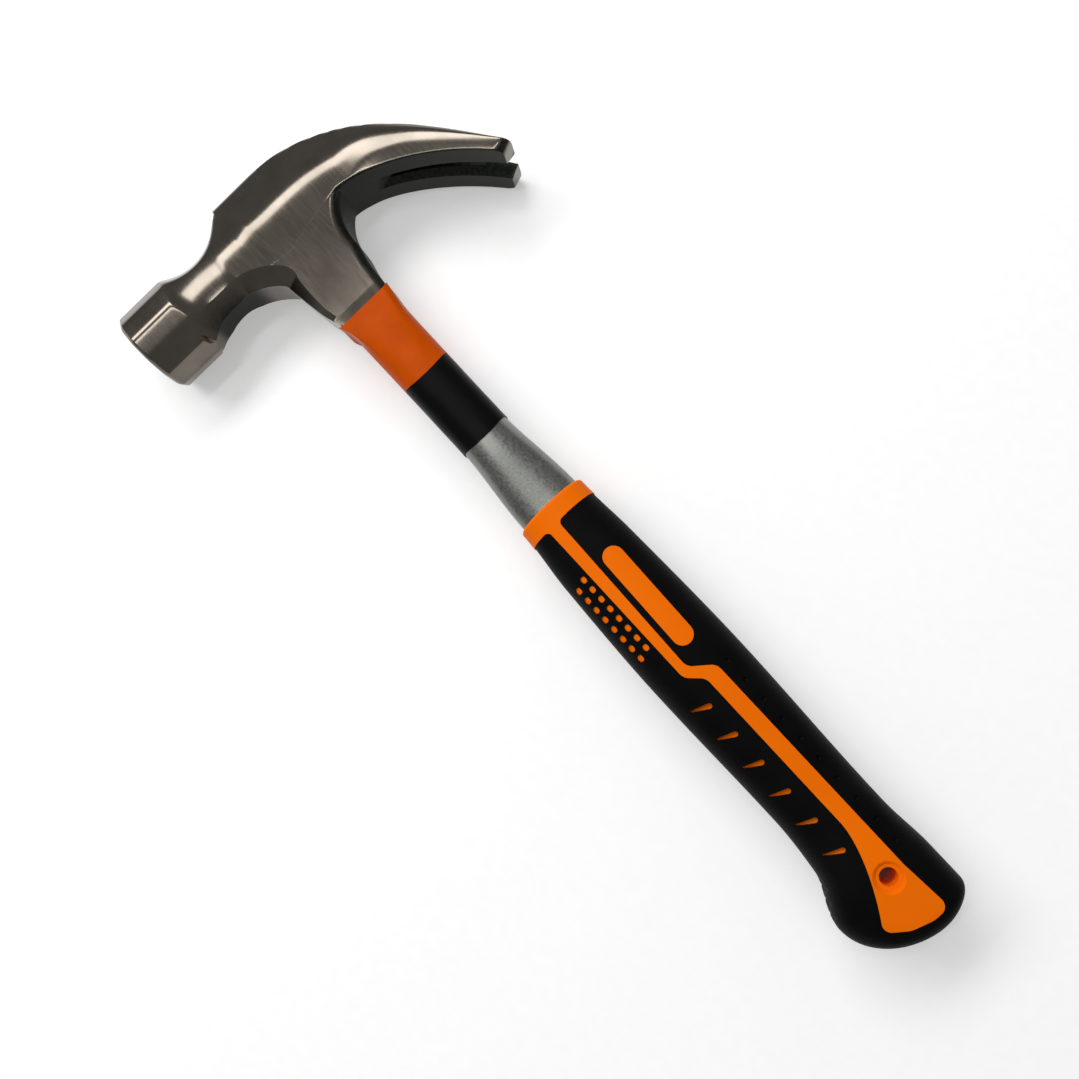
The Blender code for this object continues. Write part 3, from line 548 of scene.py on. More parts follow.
def facet_gauge(directions, facets, power):
    """How far out each direction reaches as a share of the facets' distances: the p-norm of its
    shares towards all of them. Directions are (rows, ring, 2), facets (rows, facet, 3)."""
    u, z = directions[..., 0][:, None, :], directions[..., 1][:, None, :]
    nu, nz, distance = (facets[..., j][..., None] for j in range(3))
    shares = np.maximum(0, (nu * u + nz * z) / distance)
    return (shares ** power).sum(axis=1) ** (1 / power)


def circle_gauge(directions, across, height, radius):
    """The same share for an arc above and below: one over the distance at which a ray meets the
    circle of that radius whose top lies at the height."""
    u, z = directions[..., 0], np.abs(directions[..., 1])
    along = u * across + z * (height - radius)
    size = u * u + z * z
    beyond = across ** 2 + (height - radius) ** 2 - radius ** 2
    return size / (along + np.sqrt(along ** 2 - size * beyond))


def joined_gauge(gauges, power):
    """One gauge from several: the p-norm of their shares."""
    return sum(g ** power for g in gauges) ** (1 / power)


def polygon_facets(sides, distance, first):
    """Facets of an upright polygon, for each row's distance from its middle."""
    turns = first + 2 * math.pi * np.arange(sides) / sides
    distance = np.atleast_1d(distance)[:, None]
    return np.stack(np.broadcast_arrays(np.cos(turns), np.sin(turns), distance), axis=-1)


def facet_through(start, end):
    """Facets through two points of the upper half, and their mirror images below: the unit normal
    of the line between the points, and the line's distance from the middle."""
    u0, z0, u1, z1 = (np.asarray(v, float) for v in (*start, *end))
    nu, nz = z1 - z0, u0 - u1
    size = np.hypot(nu, nz)
    nu, nz = nu / size, nz / size
    distance = nu * u0 + nz * z0
    sides = [np.stack(np.broadcast_arrays(nu, side * nz, distance), axis=-1) for side in (1, -1)]
    return np.stack(sides, axis=-2)


def section_rings(outer, inner, half_thickness, turns, gauge):
    """Rings between outer and inner points: each direction from the chord's middle is divided by
    the gauge of that direction."""
    middle = (outer + inner) / 2
    depth = np.linalg.norm(outer - inner, axis=1) / 2
    along = (outer - inner) / (2 * depth[:, None])
    u = depth[:, None] * np.cos(turns)
    z = np.asarray(half_thickness)[:, None] * np.sin(turns)
    reach = 1 / gauge(np.stack([u, z], axis=-1))
    flat = middle[:, None, :] + along[:, None, :] * (u * reach)[..., None]
    return np.concatenate([flat, (z * reach)[..., None]], axis=-1)


def neck_half(at):
    """Half width of the neck at a distance towards the face: an arc on each side of the waist."""
    off = np.minimum(np.abs(at - NECK_WAIST_AT), NECK_FLARE_RADIUS * NECK_FLARE_LIMIT)
    return NECK_ACROSS / 2 + NECK_FLARE_RADIUS - np.sqrt(NECK_FLARE_RADIUS ** 2 - off ** 2)


def across_head(at, half):
    """Outer and inner points of upright sections of the poll and neck."""
    return np.stack([half - POLL_SET_BACK, at], axis=1), np.stack([-half - POLL_SET_BACK, at], axis=1)


def poll_rings(turns, rim):
    """The poll: its twelve flats, the rounded rim, a superellipse arc, and the face, crowned by the
    square of the distance from its middle."""
    corner = POLL_ACROSS_FLATS / 2 / math.cos(math.pi / POLL_SIDES)
    shares = np.linspace(FACE_INNER_SHARE, 1, 14)[:-1]
    t = np.linspace(0, math.pi / 2, 9)
    inset = rim * (1 - np.sin(t) ** RIM_POWER)
    at = FACE_REACH - rim * (1 - np.cos(t) ** RIM_POWER)
    sides = np.linspace(FACE_REACH - rim, FACE_REACH - POLL_LENGTH + NECK_BLEND_ABOVE, 16)[1:-1]
    inset = np.concatenate([np.full(len(shares), rim), inset, np.zeros(len(sides))])
    at = np.concatenate([np.full(len(shares), FACE_REACH), at, sides])
    half = np.full(len(at), corner)
    facets = polygon_facets(POLL_SIDES, POLL_ACROSS_FLATS / 2 - inset, math.pi / POLL_SIDES)
    rings = section_rings(*across_head(at, half), half, turns, lambda d: facet_gauge(d, facets, POLL_CRISP))
    middle = np.array((-POLL_SET_BACK, 0.0))
    face = rings[:len(shares)]
    flat = face[..., [0, 2]] - middle
    face[..., [0, 2]] = middle + flat * shares[:, None, None]
    face[..., 1] += FACE_CROWN * (1 - shares[:, None] ** 2)
    rings[:, :, 1] -= FACE_CROWN * (rings[:, :, 1] > FACE_REACH - rim)
    return rings


def cheek_height(x, slope=CHEEK_SLOPE):
    """Height of the cheeks' plane, which falls towards the handle from the bevel's lower edge."""
    return CHEEK_THICKNESS / 2 - np.tan(slope) * (CROWN_HEIGHT - CROWN_BEVEL_DEPTH - x)


def cheek_facets(middle_x, along_x, slope, raised=0.0):
    """That plane as facets of sections whose chord's middle and direction along X are given."""
    step = 0.01
    start = cheek_height(middle_x, slope) + raised
    end = cheek_height(middle_x - step * along_x, slope) + raised
    return facet_through((0.0, start), (-step, end))


def neck_rings(turns):
    """The neck: an arched top with a slanted side beyond a crease, held inside the poll's flats
    near the face, and inside the cheeks and the crown's bevel near the handle."""
    shoulder = FACE_REACH - POLL_LENGTH
    blend_end = shoulder - NECK_BLEND_LENGTH
    at = np.concatenate([np.linspace(shoulder + NECK_BLEND_ABOVE, blend_end, 28),
                         np.linspace(blend_end, CROWN_CORNER_AT, 52)[1:]])
    half = neck_half(at)
    outer, inner = across_head(at, half)
    creased = facet_through((NECK_CREASE[0] * half, NECK_CREASE[1] * half),
                            (NECK_CORNER[0] * half, NECK_CORNER[1] * half))
    facets = np.concatenate([creased, polygon_facets(2, half, 0.0)], axis=1)
    poll = polygon_facets(POLL_SIDES, np.full(len(at), POLL_ACROSS_FLATS / 2), math.pi / POLL_SIDES)
    crown = np.full(len(at), CROWN_HEIGHT + POLL_SET_BACK)
    edge = np.full(len(at), CROWN_HEIGHT + POLL_SET_BACK - CROWN_BEVEL_DEPTH)
    bevel = facet_through((crown, CROWN_STRIP / 2), (edge, CHEEK_THICKNESS / 2))
    cheek = cheek_facets(np.full(len(at), -POLL_SET_BACK), 1.0, CHEEK_SLOPE)
    flats = np.concatenate([cheek, bevel], axis=1)
    near_poll = (at > NECK_WAIST_AT)[:, None]

    def gauge(d):
        """The p-norm of the neck's own facets and arch, and of what holds it in."""
        arch = circle_gauge(d, -NECK_TOP_OFFSET, half[:, None], NECK_TOP_RADIUS)
        own = joined_gauge([facet_gauge(d, facets, NECK_CRISP), arch], NECK_CRISP)
        limit = np.where(near_poll, facet_gauge(d, poll, POLL_CRISP), facet_gauge(d, flats, CHEEK_CRISP))
        return joined_gauge([own, limit], NECK_CRISP)

    return section_rings(outer, inner, half, turns, gauge)


def claw_rings(outer, inner, share, rounding, turns, chamfer):
    """Cheek and claw sections between the crown curve and the under curve. The crown's bevel and
    the sloping cheek are soft facets, and the ends, the leaning side and the chamfer crisp ones."""
    depth = np.linalg.norm(outer - inner, axis=1) / 2
    wider = smooth_step(share, CLAW_ROOT_SHARE, 1 - CLAW_ROOT_SHARE) * (CLAW_WIDTH - CHEEK_THICKNESS) / 2
    thick = CHEEK_THICKNESS / 2 + wider - rounding
    bevelled = eased(share, CLAW_BEVELS)
    strip = thick - bevelled * (CHEEK_THICKNESS - CROWN_STRIP) / 2
    bevel = bevelled * np.minimum(CROWN_BEVEL_DEPTH, 2 * depth - CLAW_SIDE_FLAT)
    slope = CHEEK_SLOPE * (1 - smooth_step(share, CLAW_ROOT_SHARE, CHEEK_SLOPE_SHARE - CLAW_ROOT_SHARE))
    middle_x, along_x = (outer + inner)[:, 0] / 2, (outer - inner)[:, 0] / (2 * depth)
    slant = smooth_step(share, CLAW_ROOT_SHARE / 2, CLAW_SLANT_SHARE - CLAW_ROOT_SHARE / 2)
    crease, lean = depth * (CLAW_CREASE_SHARE * slant - 1), math.tan(CLAW_SIDE_SLANT)
    low = np.minimum(cheek_height(inner[:, 0], slope) + wider - rounding,
                     thick - lean * (crease + depth))
    chamfer = chamfer * (1 - CLAW_CHAMFER_LOSS * slant)
    soft = np.concatenate([facet_through((depth, strip), (depth - bevel, thick)),
                           cheek_facets(middle_x, along_x, slope, wider - rounding)], axis=1)
    crisp = np.concatenate([polygon_facets(2, depth, 0.0),
                            facet_through((crease, thick), (crease - depth, thick - lean * depth)),
                            facet_through((chamfer - depth, low), (-depth, low - chamfer))], axis=1)

    def gauge(d):
        """The p-norm of the soft facets' gauge and the crisp ones'."""
        return joined_gauge([facet_gauge(d, soft, CHEEK_CRISP), facet_gauge(d, crisp, CLAW_CRISP)],
                            CLAW_CRISP)

    return section_rings(outer, inner, thick, turns, gauge)


def crown_points():
    """Control points of the cubic curve along the crown: it starts straight towards the claws, and
    comes to the tip along the top angle."""
    tip = (CROWN_HEIGHT - CLAW_DROP, -CLAW_REACH)
    return ((CROWN_HEIGHT, CROWN_TOP_AT),
            (CROWN_HEIGHT, CROWN_TOP_AT - CLAW_CROWN_SWEEP),
            (tip[0] + CLAW_TOP_SWEEP * math.cos(CLAW_TOP_ANGLE),
             tip[1] + CLAW_TOP_SWEEP * math.sin(CLAW_TOP_ANGLE)),
            tip)


def under_points():
    """Control points of the cubic curve in the claws' hollow: it starts at the root, straight towards
    the claws, and comes along the under angle to the tip's thickness from the crown's tip."""
    top_tip = crown_points()[3]
    root = (CROWN_HEIGHT - CLAW_ROOT_DEPTH, -CLAW_ROOT_AT)
    tip = (top_tip[0] - CLAW_TIP_THICKNESS * math.cos(CLAW_TIP_CUT),
           top_tip[1] + CLAW_TIP_THICKNESS * math.sin(CLAW_TIP_CUT))
    return (root,
            (root[0], root[1] - CLAW_ROOT_SWEEP),
            (tip[0] + CLAW_UNDER_SWEEP * math.cos(CLAW_UNDER_ANGLE),
             tip[1] + CLAW_UNDER_SWEEP * math.sin(CLAW_UNDER_ANGLE)),
            tip)


def head_body(rim, chamfer):
    """Poll, neck, cheeks and both claws in one skin, before the slot is cut. The claws' sections
    lie between the two curves at equal shares, and draw in by a quarter circle at the tips."""
    turns = clustered_turns(HEAD_RING, EDGE_CLUSTER)
    crown, under = crown_points(), under_points()
    start_at = CROWN_CORNER_AT - NECK_TO_CHEEK
    corner = np.array((CROWN_CORNER_HEIGHT, start_at))
    far_corner = np.array((-neck_half(CROWN_CORNER_AT) - POLL_SET_BACK, start_at))
    top, root = np.array(crown[0]), np.array(under[0])
    share = np.linspace(0, 1, 22)[:, None]
    cheek_outer = blend(share, corner, top)
    cheek_inner = blend(blend(share, CHEEK_TUCK_SHARE, CHEEK_END_SHARE), far_corner, root)
    none = np.zeros(len(share))
    cheek = claw_rings(cheek_outer, cheek_inner, none, none, turns, chamfer)

    tip_round = CLAW_TIP_ROUND / CLAW_REACH
    share = np.concatenate([np.linspace(0, 1 - tip_round, 120)[1:],
                            1 - tip_round + tip_round * np.sin(np.linspace(0, math.pi / 2, 10)[1:])])
    to_root = np.minimum(share / CLAW_ROOT_SHARE, 1)[:, None]
    before = blend(blend(to_root, CHEEK_END_SHARE, 1.0), far_corner, root)
    after = bezier(np.maximum(share - CLAW_ROOT_SHARE, 0) / (1 - CLAW_ROOT_SHARE), under)
    inner = np.where((share < CLAW_ROOT_SHARE)[:, None], before, after)
    into_tip = np.clip((share - 1 + tip_round) / tip_round, 0, 1)
    rounding = CLAW_TIP_ROUND * (1 - np.sqrt(1 - into_tip ** 2))
    claws = claw_rings(bezier(share, crown), inner, share, rounding, turns, chamfer)
    return grid_object("head", np.concatenate([poll_rings(turns, rim), neck_rings(turns), cheek, claws]))


def on_handle(down, across):
    """Places on the handle: so far down from the datum, so far towards the striking face."""
    return -down, (down - LEAN_FROM) * math.tan(HANDLE_LEAN) + across


def signed_power(values, power):
    """Power of each value's size, with the value's own sign."""
    return np.sign(values) * np.abs(values) ** power


def oval_rings(down, face, claw, thick, power, turns):
    """Rounded rings across the handle: superellipses with their own reach on each side."""
    down, face, claw, thick, power = (np.asarray(v, float)[..., None]
                                      for v in (down, face, claw, thick, power))
    half, middle = (face + claw) / 2, (face - claw) / 2
    across = middle + signed_power(np.cos(turns), 2 / power) * half
    rise = signed_power(np.sin(turns), 2 / power)
    x, y = on_handle(down, across)
    return np.stack(np.broadcast_arrays(x, y, rise * thick), axis=-1)


def shank_sizes(down):
    """Reach to each side and half thickness of the steel, from the stub to the tube's end: smooth
    curves through its sizes, with a quarter circle's fillet under the claws."""
    tube = ((SHANK_WAIST_AT, SHANK_WAIST_WIDTH / 2), (GRIP_AT, SHANK_COLLAR_WIDTH / 2),
            (SHANK_BURIED_AT, SHANK_BURIED_WIDTH / 2))
    face = eased(down, ((STUB_TAPER_AT, STUB_SHOULDER), (STUB_SHOULDER_END, STUB_SHOULDER_LOW),
                        (LABEL_AT, STUB_LABEL_FACE), (STUB_FACE_END, SHANK_TOP_WIDTH / 2)) + tube)
    claw = eased(down, ((STUB_CLAW_FILLET_END, STUB_CLAW_SIDE), (STUB_SHOULDER_END, STUB_CLAW_LOW),
                        (LABEL_AT, STUB_LABEL_CLAW), (STUB_CLAW_END, SHANK_TOP_WIDTH / 2)) + tube)
    into_fillet = np.maximum(0.0, STUB_CLAW_FILLET_END - down)
    claw = claw + STUB_CLAW_FILLET - np.sqrt(STUB_CLAW_FILLET ** 2 - into_fillet ** 2)
    thick = eased(down, ((LABEL_AT, SHANK_TOP_THICKNESS / 2), (SHANK_WAIST_AT, SHANK_TOP_THICKNESS / 2),
                         (GRIP_AT, SHANK_COLLAR_THICKNESS / 2)))
    under = blend(smooth_step(down, -STUB_BURIED, STUB_TAPER_AT), STUB_SUNK, STUB_UNDER_CHEEK)
    return face, claw, np.maximum(thick, cheek_height(-down) - under)


def shank_rings(down, offset=0.0, count=HANDLE_RING):
    """Oval rings of the steel, moved outwards by an offset."""
    face, claw, thick = (size + offset for size in shank_sizes(down))
    return oval_rings(down, face, claw, thick, OVAL_POWER, even_turns(count))


def stub_rings(down, count, offset=0.0):
    """Flat-sided sections of the stub, which turn into the shank's oval under the label."""
    face, claw, thick = (size + offset for size in shank_sizes(down))
    outer = np.stack(on_handle(down, face), axis=1)
    inner = np.stack(on_handle(down, -claw), axis=1)
    depth = (face + claw) / 2
    edge = STUB_CLAW_CHAMFER
    facets = np.concatenate([
        polygon_facets(2, depth, 0.0),
        facet_through((depth, thick), (edge - depth, thick)),
        facet_through((edge - depth, thick), (-depth, thick - edge))], axis=1)
    flat = section_rings(outer, inner, thick, even_turns(count),
                         lambda d: facet_gauge(d, facets, STUB_CRISP))
    rounding = smooth_step(down, LABEL_AT, STUB_ROUNDING)
    return blend(rounding[:, None, None], flat, shank_rings(down, offset, count))


def bowed(rings, arc):
    """Moves points down the handle by the arc times the square of their share of the height."""
    share = rings[..., 2] / np.abs(rings[..., 2]).max(axis=1, keepdims=True)
    rings[..., 0] -= arc[:, None] * share ** 2
    return rings


def head_stub():
    """Stub towards the handle and the spigot that goes into the tube."""
    root = CLAW_ROOT_DEPTH - CROWN_HEIGHT
    down = np.linspace(root, LABEL_AT, 60)
    first = stub_rings(down[:1], STUB_RING)
    first[..., 0] += STUB_BURIED
    low = np.array((blend(0.5, LABEL_AT, STUB_LENGTH), STUB_LENGTH))
    spigot = np.array((STUB_LENGTH, STUB_LENGTH + SPIGOT_LENGTH / 2, STUB_LENGTH + SPIGOT_LENGTH))
    return grid_object("stub", np.concatenate([
        first, stub_rings(down, STUB_RING), stub_rings(low, STUB_RING),
        shank_rings(spigot, -TUBE_WALL - FIT_GAP, STUB_RING)]))


def edge_path():
    """Outline seen from above that the slanted edge follows: the neck's arc past its waist, a
    fillet in the corner, and the stub's face side. Gives evenly spaced points, the way in from
    them, and the length passed at each and at the five places that the edge's sizes are for."""
    centre = np.array((-NECK_ACROSS / 2 - NECK_FLARE_RADIUS - POLL_SET_BACK, NECK_WAIST_AT))
    down = np.linspace(STUB_TAPER_AT, EDGE_END_AT, 300)
    stub = np.stack(on_handle(down, shank_sizes(down)[0]), axis=1)
    start = np.interp(-NECK_FLARE_RADIUS, -np.linalg.norm(stub - centre, axis=1), down)
    corner = np.array([np.interp(start, down, stub[:, 0]), np.interp(start, down, stub[:, 1])])
    turns = np.linspace(EDGE_ABOVE_WAIST, math.atan2(*(corner - centre)[::-1]), 200)[:, None]
    arc = centre + NECK_FLARE_RADIUS * np.concatenate([np.cos(turns), np.sin(turns)], axis=1)
    arc, beyond = (points[np.linalg.norm(points - corner, axis=1) > EDGE_FILLET / 2]
                   for points in (arc, stub[down > start]))
    path = np.concatenate([arc, round_corner(arc[-1], corner, beyond[0], EDGE_FILLET), beyond])
    passed = lengths_passed(path)
    at = np.linspace(0, passed[-1], 120)
    even = np.stack([np.interp(at, passed, path[:, 0]), np.interp(at, passed, path[:, 1])], axis=1)
    ahead = unit(np.gradient(even, axis=0))
    inwards = np.stack([-ahead[:, 1], ahead[:, 0]], axis=1)
    waist, turn = NECK_FLARE_RADIUS * EDGE_ABOVE_WAIST, passed[len(arc)]
    return even, inwards, at, (0, waist, turn, turn + EDGE_EASE, at[-1])


def corner_block():
    """Upright block that fills the corner between the neck's arc and the stub."""
    outline, inwards, at, places = edge_path()
    near = (at > places[2] - EDGE_WIDTHS[2]) & (at < places[2] + EDGE_EASE)
    inner = outline[near][::-1] + inwards[near][::-1] * EDGE_WIDTHS[2]
    height = float(cheek_height(outline[near][:, 0].min())) - STUB_SUNK
    return prism("corner", [np.concatenate([outline[near], inner])], -height, height)


def top_height(place):
    """Height of the head's upper side by the neck's low side: the neck's arch or the cheek."""
    half = neck_half(np.maximum(place[:, 1], CROWN_CORNER_AT))
    across = place[:, 0] + POLL_SET_BACK + NECK_TOP_OFFSET
    arch = half - NECK_TOP_RADIUS + np.sqrt(np.maximum(NECK_TOP_RADIUS ** 2 - across ** 2, 0))
    cheek = cheek_height(place[:, 0])
    return np.where(place[:, 1] > CROWN_CORNER_AT, np.minimum(arch, cheek), cheek)


def edge_cutters():
    """Two wedges, above and below, that cut the slanted edge: in each upright section square to
    the outline, a straight facet that meets the top at the edge's width."""
    outline, inwards, at, places = edge_path()
    width = eased(at, np.c_[places, EDGE_WIDTHS])
    slope = eased(at, np.c_[places, EDGE_SLOPES])
    crease = top_height(outline + inwards * width[:, None])
    near, far = np.full(len(at), -EDGE_OUTSIDE), width + EDGE_BEYOND
    low, high = crease + slope * (near - width), crease + slope * (far - width)
    rings = np.stack([np.c_[outline + inwards * off[:, None], z]
                      for off, z in ((near, low), (far, high), (near, high))], axis=1)
    return [grid_object("edge", rings * (1, 1, side)) for side in (1, -1)]


def slot_cutter():
    """Wedge between the claws: a V from above, wider at the underside, with a rounded root."""
    crown, under = crown_points(), under_points()
    samples = np.linspace(0, 1, 401)
    run_out = REACH / SLOT_LENGTH
    into_root = SLOT_ROUND_SHARE * (1 - np.cos(np.linspace(SLOT_ROUND_START, math.pi / 2, 10)))
    share = np.concatenate([into_root, np.linspace(SLOT_ROUND_SHARE, 1.0, 40)[1:], [1.0 + 2 * run_out]])
    inside = np.minimum(share, 1)
    ends = []
    for curve, length in ((crown, SLOT_TOP_LENGTH), (under, SLOT_LENGTH)):
        passed = lengths_passed(bezier(samples, curve))
        ends.append(bezier(np.interp(passed[-1] - length * (1 - inside), passed, samples), curve))
    outer, inner = ends
    ahead = -np.array((math.cos(CLAW_TOP_ANGLE), math.sin(CLAW_TOP_ANGLE)))
    for end in (outer, inner):
        end[-1] += ahead * 2 * REACH
    into_round = np.sqrt(1 - (1 - np.minimum(share / SLOT_ROUND_SHARE, 1)) ** 2)
    half = blend(inside, SLOT_ROOT_WIDTH, SLOT_MOUTH_WIDTH) / 2 * into_round
    across = unit(outer - inner)
    wide = half + SLOT_UNDER_BEVEL * (1 + REACH / SLOT_BEVEL_DEPTH)
    levels = [(outer + across * REACH, half), (inner + across * SLOT_BEVEL_DEPTH, half),
              (inner - across * REACH, wide)]
    upper = [np.c_[place, height] for place, height in levels]
    lower = [np.c_[place, -height] for place, height in levels[::-1]]
    return grid_object("slot", np.stack(upper + lower, axis=1))


def ground_and_shade_share(obj):
    """Writes how far each point of the head was ground bright: 1 on the outer faces, 0 in the claws'
    hollow, in the slot and on the neck's wall towards the handle, where the forging shows. The 0 is
    also painted shade, because it follows the faces turned towards the handle. It goes by the
    point's place and the way it faces. A second layer says how far the neck is brushed."""
    x, y, z = per_point(obj.data, "co").T
    nx, ny, nz = per_point(obj.data, "normal").T
    tip_x, tip_y = crown_points()[3]
    short_of_tip = (x - tip_x) * math.sin(CLAW_TIP_CUT) + (y - tip_y) * math.cos(CLAW_TIP_CUT)
    hollow = smooth_step(np.hypot(nx, ny), *HOLLOW_UPRIGHT)
    hollow *= smooth_step(-nx - HOLLOW_TILT * ny, *HOLLOW_FACING)
    hollow *= smooth_step(HOLLOW_END_AT - y, 0, HOLLOW_FADE) * smooth_step(short_of_tip, *TIP_FACE)
    in_slot = (np.abs(z) < SLOT_HALF) & (y < SLOT_PAST) & (np.abs(nz) > SLOT_UPRIGHT)
    wall = smooth_step(-nx, *WALL_FACING)
    wall *= smooth_step(y, WALL_AT, WALL_FADE) * smooth_step(WALL_END_AT - y, 0, WALL_FADE)
    # 0 is bare forging and also painted shade on the faces turned towards the handle
    ground = 1 - np.maximum.reduce([hollow, in_slot.astype(float), wall])
    brushed = smooth_step(y, CROWN_CORNER_AT, BRUSH_IN)
    brushed *= smooth_step(FACE_REACH - POLL_LENGTH - y, 0, BRUSH_OUT)
    for name, values in (("ground", ground), ("brushed", brushed)):
        layer = obj.data.attributes.new(name, "FLOAT", "POINT")
        layer.data.foreach_set("value", values.astype(np.float32))


# Grip

def sleeve_depth(down):
    """Thickness of the rubber: thin at the collar, where the tube is wide, then full."""
    return eased(down, ((COLLAR_END_AT, SLEEVE_COLLAR_THICKNESS), (SLEEVE_FULL_AT, SLEEVE_THICKNESS)))


def grip_rings(down, inset=0.0, count=HANDLE_RING):
    """Rings of the grip's skin, or of one that lies inset under it: superellipses on smooth curves
    through its sizes, drawn in by quarter ellipses at the butt."""
    down = np.asarray(down, float)
    inset = np.broadcast_to(np.asarray(inset, float), down.shape)
    end = GRIP_END_AT - inset
    collar, tube = SHANK_COLLAR_WIDTH / 2 + FIT_GAP + COLLAR_WALL, SHANK_BURIED_WIDTH / 2
    face = eased(down, ((GRIP_AT, collar), (SHOULDER_AT, tube + SHOULDER_FACE_COVER),
                        (SWELL_AT, tube + SWELL_FACE_COVER),
                        (WAIST_AT, tube + WAIST_FACE_COVER), (HEEL_BEND_AT, HEEL_BEND_REACH),
                        (HEEL_AT, HEEL_FACE_REACH)))
    claw = eased(down, ((GRIP_AT, collar), (SHOULDER_AT, tube + SHOULDER_CLAW_COVER),
                        (SWELL_AT, tube + SWELL_CLAW_COVER),
                        (WAIST_CLAW_AT, tube + WAIST_CLAW_COVER), (HEEL_AT, HEEL_CLAW_REACH)))
    steel = SHANK_COLLAR_THICKNESS / 2
    thick = eased(down, ((GRIP_AT, steel + COLLAR_COVER), (SWELL_AT, steel + SWELL_TOP_COVER),
                         (WAIST_AT, steel + WAIST_TOP_COVER), (HEEL_AT, HEEL_THICKNESS / 2)))
    face_off = np.clip((down - HEEL_AT) / (end - HEEL_AT), 0, BUTT_LIMIT)
    claw_off = np.clip((down - end + BUTT_ROUND_CLAW) / BUTT_ROUND_CLAW, 0, BUTT_LIMIT)
    edge_off = np.clip((down - end + BUTT_EDGE_ROUND) / BUTT_EDGE_ROUND, 0, BUTT_LIMIT)
    apex = BUTT_APEX_OFFSET
    face = (face - inset + apex) * np.sqrt(1 - face_off ** 2) - apex
    claw = (claw - inset - apex) * np.sqrt(1 - claw_off ** 2) + apex
    thick = thick - inset - BUTT_EDGE_ROUND * (1 - np.sqrt(1 - edge_off ** 2))
    power = eased(down, ((WAIST_AT, OVAL_POWER), (HEEL_AT, HEEL_POWER)))
    return oval_rings(down, face, claw, thick, power, even_turns(count))


def grip_places(start, inset, steps, butt_steps):
    """Distances down the grip, closer together where the butt turns in."""
    end = GRIP_END_AT - inset
    into_butt = np.sin(np.linspace(0, math.pi / 2, butt_steps)[1:])
    return np.concatenate([np.linspace(start, HEEL_AT, steps), HEEL_AT + (end - HEEL_AT) * into_butt])


def round_corner(before, corner, after, radius):
    """Arc that replaces a corner of a flat outline."""
    before, corner, after = (np.array(p, float) for p in (before, corner, after))
    a, b = before - corner, after - corner
    a, b = a / np.linalg.norm(a), b / np.linalg.norm(b)
    opening = math.acos(float(np.clip(a @ b, -1, 1)))
    if radius <= 0 or opening > STRAIGHT_FROM:
        return corner[None]
    cut = radius / math.tan(opening / 2)
    centre = corner + (a + b) / np.linalg.norm(a + b) * radius / math.sin(opening / 2)
    start, end = corner + a * cut - centre, corner + b * cut - centre
    share = np.linspace(0, 1, ROUND_STEPS + 1)[:, None]
    turn = math.pi - opening
    arc = (np.sin((1 - share) * turn) * start + np.sin(share * turn) * end) / math.sin(turn)
    return centre + arc


def rounded(corners):
    """Flat outline from (down, across, radius) corners, in the handle's directions."""
    flat = [corner[:2] for corner in corners]
    arcs = [round_corner(flat[k - 1], flat[k], flat[(k + 1) % len(flat)], corner[2])
            for k, corner in enumerate(corners)]
    return np.concatenate(arcs)


def grown(outline, distance):
    """The same outline moved outwards by an even distance: each point goes along the sum of its
    edges' normals, so far that both edges move by that distance."""
    ahead = unit(np.roll(outline, -1, axis=0) - outline)
    normal = np.c_[ahead[:, 1], -ahead[:, 0]] * (1 if turning(outline) > 0 else -1)
    before = np.roll(normal, 1, axis=0)
    share = 1 + (normal * before).sum(axis=1)
    return outline + distance * (normal + before) / share[:, None]


def stripe_and_panel():
    """The stripe from the collar, its dogleg, the band below and the flared butt panel."""
    above, start = COLLAR_END_AT - SHORT_REACH, COLLAR_END_AT + SEAM
    top_face = STRIPE_OFFSET + STRIPE_WIDTH / 2
    top_claw = STRIPE_OFFSET - STRIPE_WIDTH / 2
    low_face = STRIPE_OFFSET_LOW + STRIPE_WIDTH_LOW / 2
    low_claw = STRIPE_OFFSET_LOW - STRIPE_WIDTH_LOW / 2
    beside_face, beside_claw = top_face + 2 * CORNER_ROUND, top_claw - 2 * CORNER_ROUND
    band_face = BAND_WIDTH / 2 - BAND_OFFSET
    band_claw = -BAND_WIDTH / 2 - BAND_OFFSET
    band_at = DOGLEG_AT + DOGLEG_LENGTH
    share = np.linspace(0, 1, 14)[1:-1]
    flare = [(down, across, 0.0) for down, across in zip(
        blend(share, PANEL_AT, PANEL_CORNER_AT),
        blend(share ** PANEL_FLARE_POWER, band_face, PANEL_FACE_REACH))]
    face_side = [
        (above, beside_face, 0.0), (start, beside_face, 0.0), (start, top_face, CORNER_ROUND),
        (DOGLEG_AT, low_face, DOGLEG_ROUND), (band_at, band_face, DOGLEG_ROUND), (PANEL_AT, band_face, 0.0),
    ]
    end = [
        (PANEL_CORNER_AT, PANEL_FACE_REACH, PANEL_ROUND),
        (PANEL_SLANT_AT, PANEL_SLANT_REACH, PANEL_END_ROUND),
        (PANEL_END_AT, 0.0, PANEL_END_ROUND),
        (PANEL_END_AT, -PANEL_CLAW_REACH, PANEL_ROUND),
    ]
    claw_side = [
        (HANG_HOLE_AT, band_claw, 0.0), (band_at - DOGLEG_LEAD / 2, band_claw, DOGLEG_ROUND),
        (DOGLEG_AT - DOGLEG_LEAD, low_claw, DOGLEG_ROUND), (start, top_claw, CORNER_ROUND),
        (start, beside_claw, 0.0), (above, beside_claw, 0.0),
    ]
    return rounded(face_side + flare + end + claw_side)


